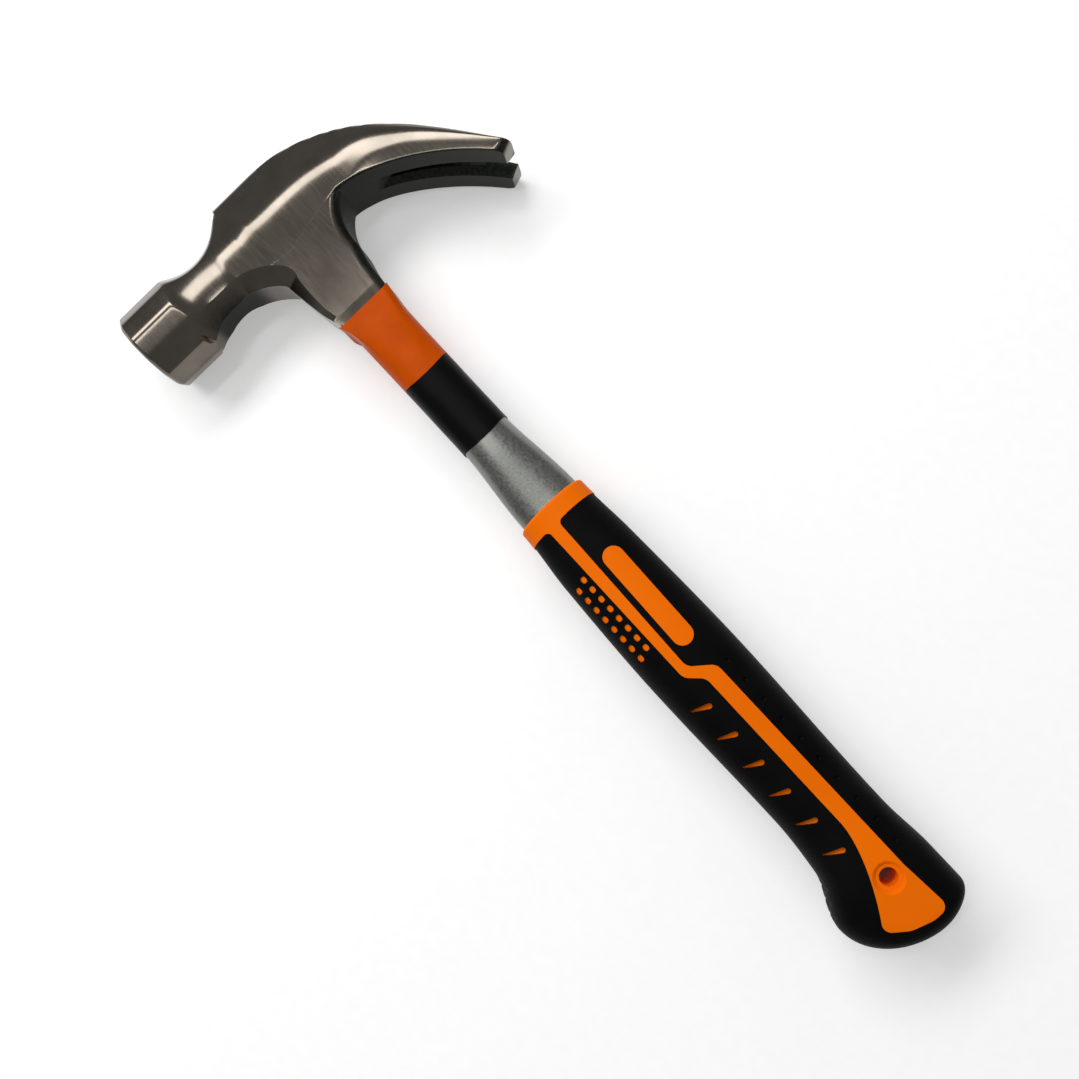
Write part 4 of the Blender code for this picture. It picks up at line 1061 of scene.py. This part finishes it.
def oval_pad():
    """The pad beside the stripe: four corners, so rounded that its ends are nearly half circles."""
    half = PAD_WIDTH / 2
    end = PAD_AT + PAD_LENGTH
    radius = half * PAD_ROUND_SHARE
    return rounded([
        (PAD_AT, half - PAD_OFFSET, radius), (end, half - PAD_OFFSET_LOW, radius),
        (end, -half - PAD_OFFSET_LOW, radius), (PAD_AT, -half - PAD_OFFSET, radius),
    ])


def dots(count):
    """Two rows of dots, the outer one a little further down: squarish superellipses."""
    turns = even_turns(DOT_RING)
    ring = np.c_[signed_power(np.cos(turns), 2 / DOT_POWER) * DOT_ALONG / 2,
                 signed_power(np.sin(turns), 2 / DOT_POWER) * DOT_ACROSS / 2]
    return [ring + (DOT_AT + k * DOT_PITCH + row * DOT_STAGGER, DOT_ROW_OFFSET + row * DOT_ROW_GAP)
            for row in range(2) for k in range(count)]


def slits(count):
    """Slots that start round beside the band and narrow to a point, leaning towards the head."""
    lean = np.array((-math.sin(SLIT_SLANT), math.cos(SLIT_SLANT)))
    side = np.array((math.cos(SLIT_SLANT), math.sin(SLIT_SLANT)))
    radius = SLIT_WIDTH / 2
    turns = np.linspace(math.pi, 2 * math.pi, 13)[:, None]
    round_end = radius * (side * np.cos(turns) + lean * np.sin(turns))
    tip = lean * (SLIT_LENGTH - radius)
    outline = np.concatenate([round_end, [tip + side * radius / 3, tip - side * radius / 3]])
    return [outline + (SLIT_AT + k * SLIT_PITCH, SLIT_OFFSET) for k in range(count)]


def through(name, outlines, grow=0.0):
    """Upright prisms over flat outlines of the handle, running past both faces of the grip."""
    placed = []
    for outline in outlines:
        edge = grown(outline, grow) if grow else outline
        placed.append(np.stack(on_handle(edge[:, 0], edge[:, 1]), axis=1))
    return prism(name, placed, -PAST_GRIP, PAST_GRIP)


def within_skin(name, outlines, rings):
    """Such prisms, cut to what lies inside a skin of rings."""
    return carved(through(name, outlines), [("INTERSECT", grid_object(name + "_skin", rings))])


def hang_recess(name, side, floor):
    """Dish round the hang hole on one face: a rounded wall, then a floor that falls to the bore."""
    outer, bore, lip = HANG_RECESS_ACROSS / 2, HANG_HOLE_ACROSS / 2, HANG_RECESS_LIP
    t = np.linspace(0, math.pi / 2, 7)
    wall = [(outer - lip * math.sin(a), floor + lip * math.cos(a)) for a in t]
    edge = [(bore + lip / 4 * (1 - math.sin(a)), floor - lip / 4 * (2 - math.cos(a))) for a in t]
    profile = [(outer + lip, floor + REACH), (outer + lip, floor + 2 * lip)] + wall + edge
    profile += [(bore, -SHORT_REACH)]
    profile = [(radius, side * height) for radius, height in profile]
    return turned(name, on_handle(HANG_HOLE_AT, HANG_HOLE_OFFSET), profile, HOLE_RING)


def dimples(count):
    """Small round hollows in a row along the claw side, on both faces: arcs of circles whose
    middles lie a quarter of their width outside the skin."""
    balls = []
    turns = np.linspace(DIMPLE_START, math.pi - DIMPLE_START, 9)
    radius = DIMPLE_ACROSS / 2
    for k in range(count):
        down = DIMPLE_AT + k * DIMPLE_PITCH
        centre = on_handle(down, DIMPLE_OFFSET)
        skin = grip_rings([down], 0.0, SKIN_RING)[0]
        upper = skin[skin[:, 2] > 0]
        upper = upper[np.argsort(upper[:, 1])]
        height = float(np.interp(centre[1], upper[:, 1], upper[:, 2]))
        for side in (1, -1):
            profile = [(radius * math.sin(t), side * (height + radius / 2 - radius * math.cos(t)))
                       for t in turns]
            balls.append(turned("dimple", centre, profile, DIMPLE_RING))
    return merged("dimples", balls)


def notches(count):
    """Shallow round grooves across the face-side edge at the heel, square to the edge."""
    rods = []
    radius = NOTCH_ACROSS / 2
    for k in range(count):
        down = NOTCH_AT + k * NOTCH_PITCH
        edge = grip_rings([down - NOTCH_SAMPLE, down + NOTCH_SAMPLE], 0.0, 8)[:, 0, :2]
        ahead = (edge[1] - edge[0]) / np.linalg.norm(edge[1] - edge[0])
        centre = edge.mean(axis=0) + np.array((ahead[1], -ahead[0])) * NOTCH_OUT
        rods.append(turned("notch", centre, [(radius, -PAST_GRIP), (radius, PAST_GRIP)], NOTCH_RING))
    return merged("notches", rods)


# Materials

def new_surface(name):
    """Material with its Principled shader ready, its node tree and that shader."""
    material = bpy.data.materials.new(name)
    material.use_nodes = True
    tree = material.node_tree
    return material, tree, tree.nodes["Principled BSDF"]


def add_node(tree, kind, values=None, links=None, **settings):
    """Node of a kind, with its settings, its inputs' values and what feeds them."""
    node = tree.nodes.new(kind)
    for key, value in settings.items():
        setattr(node, key, value)
    for key, value in (values or {}).items():
        node.inputs[key].default_value = value
    for key, source in (links or {}).items():
        tree.links.new(source, node.inputs[key])
    return node


def pattern(tree, size, stretch=(1, 1, 1), detail=4.0):
    """Noise on the object's own coordinates, whose grain is about the size in metres, finer where
    stretched."""
    place = add_node(tree, "ShaderNodeTexCoord").outputs["Object"]
    mapped = add_node(tree, "ShaderNodeMapping", {"Scale": stretch}, {"Vector": place})
    noise = add_node(tree, "ShaderNodeTexNoise", {"Scale": 1 / size, "Detail": detail},
                     {"Vector": mapped.outputs[0]})
    return noise.outputs["Fac"]


def written(tree, name):
    """The values that a piece's mesh carries under a name."""
    return add_node(tree, "ShaderNodeAttribute", attribute_name=name).outputs["Fac"]


def ranged(tree, source, low, high, from_low=0.35, from_high=0.65):
    """The source's values carried from one range to another."""
    node = add_node(tree, "ShaderNodeMapRange",
                    {"From Min": from_low, "From Max": from_high, "To Min": low, "To Max": high},
                    {"Value": source})
    return node.outputs["Result"]


def mixed(tree, share, first, last):
    """Colour between two, each a colour or another node's output."""
    node = add_node(tree, "ShaderNodeMix", data_type="RGBA")
    tree.links.new(share, node.inputs[0])
    for socket, colour in ((node.inputs[6], first), (node.inputs[7], last)):
        if isinstance(colour, bpy.types.NodeSocket):
            tree.links.new(colour, socket)
        else:
            socket.default_value = (*colour, 1.0)
    return node.outputs[2]


def arithmetic(tree, operation, first, second):
    """Sum, product or the like of two values, each a number or another node's output."""
    node = add_node(tree, "ShaderNodeMath", operation=operation)
    for socket, value in zip(node.inputs, (first, second)):
        if isinstance(value, bpy.types.NodeSocket):
            tree.links.new(value, socket)
        else:
            socket.default_value = value
    return node.outputs[0]


def bump(tree, height, strength, distance, below=None):
    """Normals bent by a height, on top of another bump if one is given."""
    links = {"Height": height}
    if below is not None:
        links["Normal"] = below
    node = add_node(tree, "ShaderNodeBump", {"Strength": strength, "Distance": distance}, links)
    return node.outputs[0]


def tinted(tree, share, colour, low, high):
    """One colour that drifts between a low and a high multiple of itself."""
    return mixed(tree, ranged(tree, share, 0, 1), [c * low for c in colour], [c * high for c in colour])


def set_inputs(tree, shader, sources, values):
    """Feeds inputs of the shader from other nodes, and sets others of its sockets to values."""
    for key, source in sources.items():
        tree.links.new(source, shader.inputs[key])
    for key, value in values.items():
        shader.inputs[key].default_value = value


def polished_steel(look):
    """Ground and lacquered forging: fine grinding lines across the head, a cloudy tone, and bare
    dark forging scale where it was not ground, whose colour is also painted shade on the faces turned
    towards the handle."""
    material, tree, shader = new_surface("polished_forging")
    ground, brushed = written(tree, "ground"), written(tree, "brushed")
    cloud = pattern(tree, 0.012, detail=3.0)
    lines = pattern(tree, 0.0009, stretch=(0.06, 1.0, 1.0), detail=5.0)
    scale = pattern(tree, 0.0011, detail=6.0)
    bright = tinted(tree, cloud, look.ground_colour, 0.9, 1.12)
    # Dark forging colour, also painted shade: kept darker than the scale so that the floor's reflection
    # does not show
    dark = tinted(tree, scale, look.forging_and_shade_colour, 0.7, 1.5)
    smooth = ranged(tree, lines, look.polish - 0.015, look.polish + 0.015)
    rough = ranged(tree, scale, 0.48, 0.62)
    forged_and_shaded = arithmetic(tree, "SUBTRACT", 1.0, ground)
    roughness = arithmetic(tree, "ADD", arithmetic(tree, "MULTIPLY", smooth, ground),
                           arithmetic(tree, "MULTIPLY", rough, forged_and_shaded))
    combed = arithmetic(tree, "MULTIPLY", lines, ranged(tree, brushed, 0.2, 1.0, 0.0, 1.0))
    fine = bump(tree, combed, 0.2, 0.00001)
    set_inputs(tree, shader, {"Base Color": mixed(tree, ground, dark, bright), "Roughness": roughness,
                              "Normal": bump(tree, scale, 0.05, 0.00003, fine)}, {"Metallic": 1.0})
    return material


def satin_steel(look):
    """Blasted tube: a fine speckle in tone, roughness and height."""
    material, tree, shader = new_surface("satin_tube")
    grain = pattern(tree, 0.0009, detail=5.0)
    cloud = pattern(tree, 0.010, detail=2.0)
    tone = arithmetic(tree, "ADD", arithmetic(tree, "MULTIPLY", grain, 0.7),
                      arithmetic(tree, "MULTIPLY", cloud, 0.3))
    set_inputs(tree, shader, {"Base Color": tinted(tree, tone, look.tube_colour, 0.82, 1.18),
                              "Roughness": ranged(tree, grain, look.satin - 0.05, look.satin + 0.07),
                              "Normal": bump(tree, grain, 0.5, 0.00006)}, {"Metallic": 1.0})
    return material


def wrap_film(look):
    """Printed film: two plain colours that meet square across the handle, with a faint grain."""
    material, tree, shader = new_surface("wrap_film")
    place = add_node(tree, "ShaderNodeUVMap", uv_map="along_handle").outputs[0]
    along = add_node(tree, "ShaderNodeSeparateXYZ", links={"Vector": place}).outputs["Y"]
    below = arithmetic(tree, "GREATER_THAN", along, look.split_share)
    cloud = pattern(tree, 0.008, detail=3.0)
    grain = pattern(tree, 0.0016, detail=2.0)
    upper = tinted(tree, cloud, look.upper_colour, 0.93, 1.05)
    set_inputs(tree, shader, {"Base Color": mixed(tree, below, upper, tuple(look.lower_colour)),
                              "Roughness": ranged(tree, cloud, 0.30, 0.42),
                              "Normal": bump(tree, grain, 0.15, 0.00003)}, {"Specular IOR Level": 0.05})
    return material


def moulded_plastic(look):
    """Hard moulded plastic: even colour with a faint drift and a fine spark-eroded grain."""
    material, tree, shader = new_surface("moulded_orange")
    cloud = pattern(tree, 0.030, detail=2.0)
    grain = pattern(tree, 0.0005, detail=3.0)
    set_inputs(tree, shader, {"Base Color": tinted(tree, cloud, look.orange_colour, 1.0, 0.97),
                              "Roughness": ranged(tree, grain, 0.42, 0.52),
                              "Normal": bump(tree, grain, 0.2, 0.00002)}, {"Specular IOR Level": 0.05})
    return material


def soft_rubber(look):
    """Soft black rubber: matt, with a fine moulded grain and faint lighter patches."""
    material, tree, shader = new_surface("soft_rubber")
    cloud = pattern(tree, 0.014, detail=4.0)
    grain = pattern(tree, 0.0006, detail=4.0)
    set_inputs(tree, shader, {"Base Color": tinted(tree, cloud, look.rubber_colour, 0.8, 1.5),
                              "Roughness": ranged(tree, grain, 0.50, 0.64),
                              "Normal": bump(tree, grain, 0.3, 0.00003)}, {"Specular IOR Level": 0.06})
    return material


def plain_metal(look):
    """Weld bead ground flush, seen only with the label off."""
    material, tree, shader = new_surface("ground_weld")
    grain = pattern(tree, 0.0007, stretch=(0.2, 1, 1), detail=4.0)
    set_inputs(tree, shader, {"Base Color": tinted(tree, grain, look.tube_colour, 0.8, 1.3),
                              "Roughness": ranged(tree, grain, 0.35, 0.5)}, {"Metallic": 1.0})
    return material


def plug_plastic():
    """Plain black moulded plug, hidden inside the grip."""
    material, tree, shader = new_surface("plug_plastic")
    grain = pattern(tree, 0.0008, detail=3.0)
    colour = mixed(tree, ranged(tree, grain, 0, 1), (0.03, 0.03, 0.03), (0.05, 0.05, 0.05))
    set_inputs(tree, shader, {"Base Color": colour, "Roughness": ranged(tree, grain, 0.5, 0.7)}, {})
    return material


def seen_directly(tree):
    """1 for rays from the camera, from gloss and through clear stuff, otherwise 0."""
    path = add_node(tree, "ShaderNodeLightPath")
    seen = arithmetic(tree, "MAXIMUM", path.outputs["Is Camera Ray"], path.outputs["Is Glossy Ray"])
    return arithmetic(tree, "MAXIMUM", seen, path.outputs["Is Transmission Ray"])


def floor_paper(look):
    """White paper that shows as white with the hammer's soft shadow on it."""
    material, tree, shader = new_surface("floor_paper")
    fibre = pattern(tree, 0.004, detail=3.0)
    colour = mixed(tree, ranged(tree, fibre, 0, 1), (0.80, 0.80, 0.80), (0.82, 0.82, 0.82))
    lift = arithmetic(tree, "MULTIPLY", seen_directly(tree), look.paper_lift)
    set_inputs(tree, shader, {"Base Color": colour, "Emission Strength": lift},
               {"Roughness": 0.9, "Specular IOR Level": 0.0, "Emission Color": (1, 1, 1, 1)})
    return material


# Settings

class HammerHeadSettings(bpy.types.PropertyGroup):
    """Sizes and colours of the forged head."""
    rim: FloatProperty(name="Rim round", description="Rounding of the striking face's rim",
                       default=0.0018, min=0.0002, max=0.004, unit="LENGTH", precision=4)
    chamfer: FloatProperty(name="Claw edge", description="Width of the edge cut under the claws",
                           default=0.0008, min=0.0001, max=0.002, unit="LENGTH", precision=4)
    ground_colour: FloatVectorProperty(name="Ground steel", description="Colour of the polished steel",
                                       subtype="COLOR", default=(0.140, 0.122, 0.102), min=0, max=1)
    # Forging scale and painted shade together: darker than the scale, for the faces turned towards the
    # handle
    forging_and_shade_colour: FloatVectorProperty(name="Forging scale", description="Colour where it is not ground",
                                       subtype="COLOR", default=(0.026, 0.029, 0.023), min=0, max=1)
    polish: FloatProperty(name="Polish", description="Roughness of the ground steel",
                          default=0.17, min=0.05, max=1.0, subtype="FACTOR")


class HammerShankSettings(bpy.types.PropertyGroup):
    """Colours and sizes of the tube and its label."""
    tube_colour: FloatVectorProperty(name="Tube", description="Colour of the satin tube",
                                     subtype="COLOR", default=(0.215, 0.22, 0.202), min=0, max=1)
    satin: FloatProperty(name="Satin", description="Roughness of the tube",
                         default=0.36, min=0.05, max=1.0, subtype="FACTOR")
    film: FloatProperty(name="Film", description="Thickness of the label's film",
                        default=0.0003, min=0.0001, max=0.001, unit="LENGTH", precision=5)
    split_share: FloatProperty(name="Colour change", description="Share of the label above the change",
                               default=0.52, min=0.0, max=1.0, subtype="FACTOR")
    upper_colour: FloatVectorProperty(name="Upper film", description="Colour of the label's upper part",
                                      subtype="COLOR", default=(0.60, 0.078, 0.0), min=0, max=1)
    lower_colour: FloatVectorProperty(name="Lower film", description="Colour of the label's lower part",
                                      subtype="COLOR", default=(0.0035, 0.0035, 0.0035), min=0, max=1)


class HammerGripSettings(bpy.types.PropertyGroup):
    """Colours and counts of the grip."""
    orange_colour: FloatVectorProperty(name="Core", description="Colour of the hard core",
                                       subtype="COLOR", default=(1.0, 0.178, 0.0), min=0, max=1)
    rubber_colour: FloatVectorProperty(name="Rubber", description="Colour of the soft sleeve",
                                       subtype="COLOR", default=(0.0018, 0.0018, 0.0018), min=0, max=1)
    dot_count: IntProperty(name="Dots", description="Dots in each of the two rows",
                           default=8, min=1, max=8)
    slit_count: IntProperty(name="Slits", description="Slanted slits beside the band",
                            default=6, min=1, max=6)
    dimple_count: IntProperty(name="Dimples", description="Dimples on the claw side",
                              default=10, min=1, max=10)
    notch_count: IntProperty(name="Notches", description="Notches in the heel's edge",
                             default=3, min=1, max=3)


class HammerStageSettings(bpy.types.PropertyGroup):
    """Lights and floor of the photograph."""
    strip_power: FloatProperty(name="Strip light", description="Power of the long light beyond the head",
                               default=12.0, min=0.0, unit="POWER")
    top_power: FloatProperty(name="Top light", description="Power of the small light over the tube",
                             default=1.9, min=0.0, unit="POWER")
    ambient: FloatProperty(name="Ambient", description="Strength of the light from all round",
                           default=0.30, min=0.0, max=2.0)
    paper_lift: FloatProperty(name="Paper lift", description="How much the floor is lifted to white",
                              default=0.35, min=0.0, max=1.0, subtype="FACTOR")
    lens: FloatProperty(name="Lens", description="Focal length on a 36 mm sensor", default=35.37, min=10.0)


# Operators

class HAMMER_OT_head(bpy.types.Operator):
    """Builds the forged head with its stub and nail slot."""
    bl_idname = "hammer.build_head"
    bl_label = "Head"

    def execute(self, context):
        look = context.scene.hammer_head
        head = head_body(look.rim, look.chamfer)
        steps = [("UNION", head_stub()), ("UNION", corner_block())]
        steps += [("DIFFERENCE", cutter) for cutter in (*edge_cutters(), slot_cutter())]
        carved(head, steps)
        ground_and_shade_share(head)
        finish_piece(head, "hammer_head", polished_steel(look), ["head"])
        return {"FINISHED"}


class HAMMER_OT_shank(bpy.types.Operator):
    """Builds the tube and finishes the weld and the plug that it hides."""
    bl_idname = "hammer.build_shank"
    bl_label = "Tube"

    def execute(self, context):
        look = context.scene.hammer_shank
        start = STUB_LENGTH + WELD_WIDTH + FIT_GAP
        down = np.concatenate([np.linspace(start, SHANK_WAIST_AT, 30),
                               np.linspace(SHANK_WAIST_AT, SHANK_BURIED_AT, 90)[1:],
                               np.linspace(SHANK_BURIED_AT, SHANK_END_AT, 12)[1:]])
        rings = np.concatenate([shank_rings(down), shank_rings(down[::-1], -TUBE_WALL)])
        tube = grid_object("tube", rings, closed="loop")
        finish_piece(tube, "shank", satin_steel(look), ["shank_tube"])
        for node, surface in (("neck_weld", plain_metal(look)), ("tube_plug", plug_plastic())):
            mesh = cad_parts[node].data
            mesh.materials.clear()
            mesh.materials.append(surface)
        return {"FINISHED"}


class HAMMER_OT_label(bpy.types.Operator):
    """Builds the bare two-colour wrap."""
    bl_idname = "hammer.build_label"
    bl_label = "Label"

    def execute(self, context):
        look = context.scene.hammer_shank
        share = np.linspace(0, 1, 90)
        arc = blend(share, LABEL_TOP_ARC, LABEL_LOW_ARC)
        down = LABEL_AT + share * LABEL_LENGTH
        outside = bowed(stub_rings(down, LABEL_RING, LABEL_CLEARANCE + look.film), arc)
        inside = bowed(stub_rings(down[::-1], LABEL_RING, LABEL_CLEARANCE), arc[::-1])
        label = grid_object("label", np.concatenate([outside, inside]), closed="loop")
        shares = np.repeat(np.concatenate([share, share[::-1]]), LABEL_RING)
        round_it = np.tile(np.arange(LABEL_RING) / LABEL_RING, 2 * len(share))
        corners = np.empty(len(label.data.loops), int)
        label.data.loops.foreach_get("vertex_index", corners)
        layer = label.data.uv_layers.new(name="along_handle")
        layer.data.foreach_set("uv", np.c_[round_it[corners], shares[corners]].ravel().astype(np.float32))
        finish_piece(label, "label_wrap", wrap_film(look), ["label"])
        return {"FINISHED"}


class HAMMER_OT_core(bpy.types.Operator):
    """Builds the hard orange core: collar, raised areas, slit floors and hang hole."""
    bl_idname = "hammer.build_core"
    bl_label = "Grip core"

    def execute(self, context):
        look = context.scene.hammer_grip
        lip = np.linspace(0, math.pi / 2, 7)
        collar_down = GRIP_AT + COLLAR_LIP * (1 - np.cos(lip))
        collar_inset = -COLLAR_PROUD + COLLAR_LIP * (1 - np.sin(lip))
        flat_down = np.linspace(GRIP_AT + COLLAR_LIP, COLLAR_END_AT, 8)[1:]
        buried = grip_places(COLLAR_END_AT, SLEEVE_THICKNESS, 40, 14)
        core = grid_object("core", np.concatenate([
            grip_rings(collar_down, collar_inset),
            grip_rings(flat_down, -COLLAR_PROUD),
            grip_rings(buried, sleeve_depth(buried))]))
        skin = grip_places(COLLAR_END_AT - SHORT_REACH, 0.0, 170, 40)
        proud = eased(skin, ((COLLAR_END_AT, COLLAR_PROUD), (SHOULDER_AT, ORANGE_PROUD)))
        raised = within_skin("raised", [stripe_and_panel(), oval_pad()], grip_rings(skin, -proud))
        dot_floors = within_skin("dots", dots(look.dot_count), grip_rings(skin, DOT_DEPTH))
        floors = within_skin("floors", slits(look.slit_count), grip_rings(skin, SLIT_DEPTH))
        bore_down = np.concatenate([np.linspace(STUB_LENGTH, SHANK_BURIED_AT, 80),
                                    [SHANK_END_AT + BORE_BEYOND]])
        bore = grid_object("bore", shank_rings(bore_down, FIT_GAP))
        floor = float(grip_rings([HANG_HOLE_AT], HANG_RECESS_DEPTH)[0, :, 2].max())
        hole_at, radius = on_handle(HANG_HOLE_AT, HANG_HOLE_OFFSET), HANG_HOLE_ACROSS / 2
        hole = turned("hole", hole_at, [(radius, -PAST_GRIP), (radius, PAST_GRIP)], HOLE_RING)
        steps = [("UNION", raised), ("UNION", dot_floors), ("UNION", floors),
                 ("DIFFERENCE", bore), ("DIFFERENCE", hole)]
        steps += [("DIFFERENCE", hang_recess("recess", side, floor)) for side in (1, -1)]
        carved(core, steps)
        finish_piece(core, "grip_orange", moulded_plastic(look), ["grip_core"])
        return {"FINISHED"}


class HAMMER_OT_sleeve(bpy.types.Operator):
    """Builds the soft rubber sleeve with its windows, slits, dimples and notches."""
    bl_idname = "hammer.build_sleeve"
    bl_label = "Grip rubber"

    def execute(self, context):
        look = context.scene.hammer_grip
        skin = grip_places(COLLAR_END_AT + SEAM, 0.0, 230, 48)
        sleeve = grid_object("sleeve", grip_rings(skin))
        inside = grip_places(COLLAR_END_AT - REACH, SLEEVE_THICKNESS - SEAM, 60, 16)
        cavity = grid_object("cavity", grip_rings(inside, sleeve_depth(inside) - SEAM))
        windows = [stripe_and_panel(), oval_pad()] + dots(look.dot_count)
        steps = [("DIFFERENCE", cavity), ("DIFFERENCE", through("windows", windows, SEAM)),
                 ("DIFFERENCE", through("slits", slits(look.slit_count))),
                 ("DIFFERENCE", dimples(look.dimple_count)),
                 ("DIFFERENCE", notches(look.notch_count))]
        carved(sleeve, steps)
        finish_piece(sleeve, "grip_rubber", soft_rubber(look), ["grip_sleeve"])
        return {"FINISHED"}


def add_lamp(name, place, aim, size, power):
    """Soft light at a place, turned to another, with its size along Y and square to that."""
    towards = (Vector(place) - Vector(aim)).normalized()
    light = bpy.data.lights.new(name, "AREA")
    light.shape = "RECTANGLE"
    light.size, light.size_y = size
    light.energy = power
    lamp = bpy.data.objects.new(name, light)
    bpy.context.scene.collection.objects.link(lamp)
    across = towards.cross(Vector((1.0, 0.0, 0.0))).normalized()
    turn = Matrix((across, towards.cross(across), towards)).transposed().to_4x4()
    lamp.matrix_world = Matrix.Translation(place) @ turn


class HAMMER_OT_stage(bpy.types.Operator):
    """Builds the floor, the lights and the camera."""
    bl_idname = "hammer.build_stage"
    bl_label = "Stage"

    def execute(self, context):
        look = context.scene.hammer_stage
        side = FLOOR_REACH
        places = [(-side, -side, 0), (side, -side, 0), (side, side, 0), (-side, side, 0)]
        floor = mesh_object("floor", places, [(0, 1, 2, 3)])
        floor.data.materials.append(floor_paper(look))

        world = bpy.data.worlds.new("studio")
        context.scene.world = world
        world.use_nodes = True
        background = world.node_tree.nodes["Background"]
        background.inputs["Color"].default_value = (1, 1, 1, 1)
        background.inputs["Strength"].default_value = look.ambient

        add_lamp("strip", *STRIP_LAMP, look.strip_power)
        add_lamp("top", *TOP_LAMP, look.top_power)

        camera = bpy.data.cameras.new("photo")
        camera.sensor_width = 36.0
        camera.lens = look.lens
        viewer = bpy.data.objects.new("photo", camera)
        context.scene.collection.objects.link(viewer)
        ahead = Vector(CAMERA_AHEAD).normalized()
        right = ahead.cross(Vector(CAMERA_UP)).normalized()
        turn = Matrix((right, right.cross(ahead), -ahead)).transposed().to_4x4()
        viewer.matrix_world = Matrix.Translation(CAMERA_AT) @ turn
        context.scene.camera = viewer
        context.scene.view_settings.view_transform = "Standard"
        return {"FINISHED"}


class HAMMER_PT_panel(bpy.types.Panel):
    """Lists what can be built, with its settings."""
    bl_idname = "HAMMER_PT_panel"
    bl_label = "Claw hammer"
    bl_space_type = "VIEW_3D"
    bl_region_type = "UI"
    bl_category = "Hammer"

    def draw(self, context):
        for group, operators in GROUPS:
            box = self.layout.box()
            settings = getattr(context.scene, group)
            for key in settings.__annotations__:
                box.prop(settings, key)
            for operator in operators:
                box.operator(operator.bl_idname)


SETTINGS = {
    "hammer_head": HammerHeadSettings,
    "hammer_shank": HammerShankSettings,
    "hammer_grip": HammerGripSettings,
    "hammer_stage": HammerStageSettings,
}
GROUPS = (
    ("hammer_stage", (HAMMER_OT_stage,)),
    ("hammer_head", (HAMMER_OT_head,)),
    ("hammer_shank", (HAMMER_OT_shank, HAMMER_OT_label)),
    ("hammer_grip", (HAMMER_OT_core, HAMMER_OT_sleeve)),
)
OPERATORS = [operator for group, operators in GROUPS for operator in operators]
CLASSES = (*SETTINGS.values(), *OPERATORS, HAMMER_PT_panel)


def register():
    """Registers the settings, the operators and the panel."""
    for kind in CLASSES:
        bpy.utils.register_class(kind)
    for name, kind in SETTINGS.items():
        setattr(bpy.types.Scene, name, PointerProperty(type=kind))


def unregister():
    """Takes back what register did."""
    for name in SETTINGS:
        delattr(bpy.types.Scene, name)
    for kind in reversed(CLASSES):
        bpy.utils.unregister_class(kind)


def corners(bounds):
    """A box's two corners as plain lists."""
    return [list(corner) for corner in bounds]


def main():
    """Builds every piece and the stage."""
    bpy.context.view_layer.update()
    register()
    for operator in OPERATORS:
        area, name = operator.bl_idname.split(".")
        getattr(getattr(bpy.ops, area), name)()


if __name__ == "__main__":
    main()
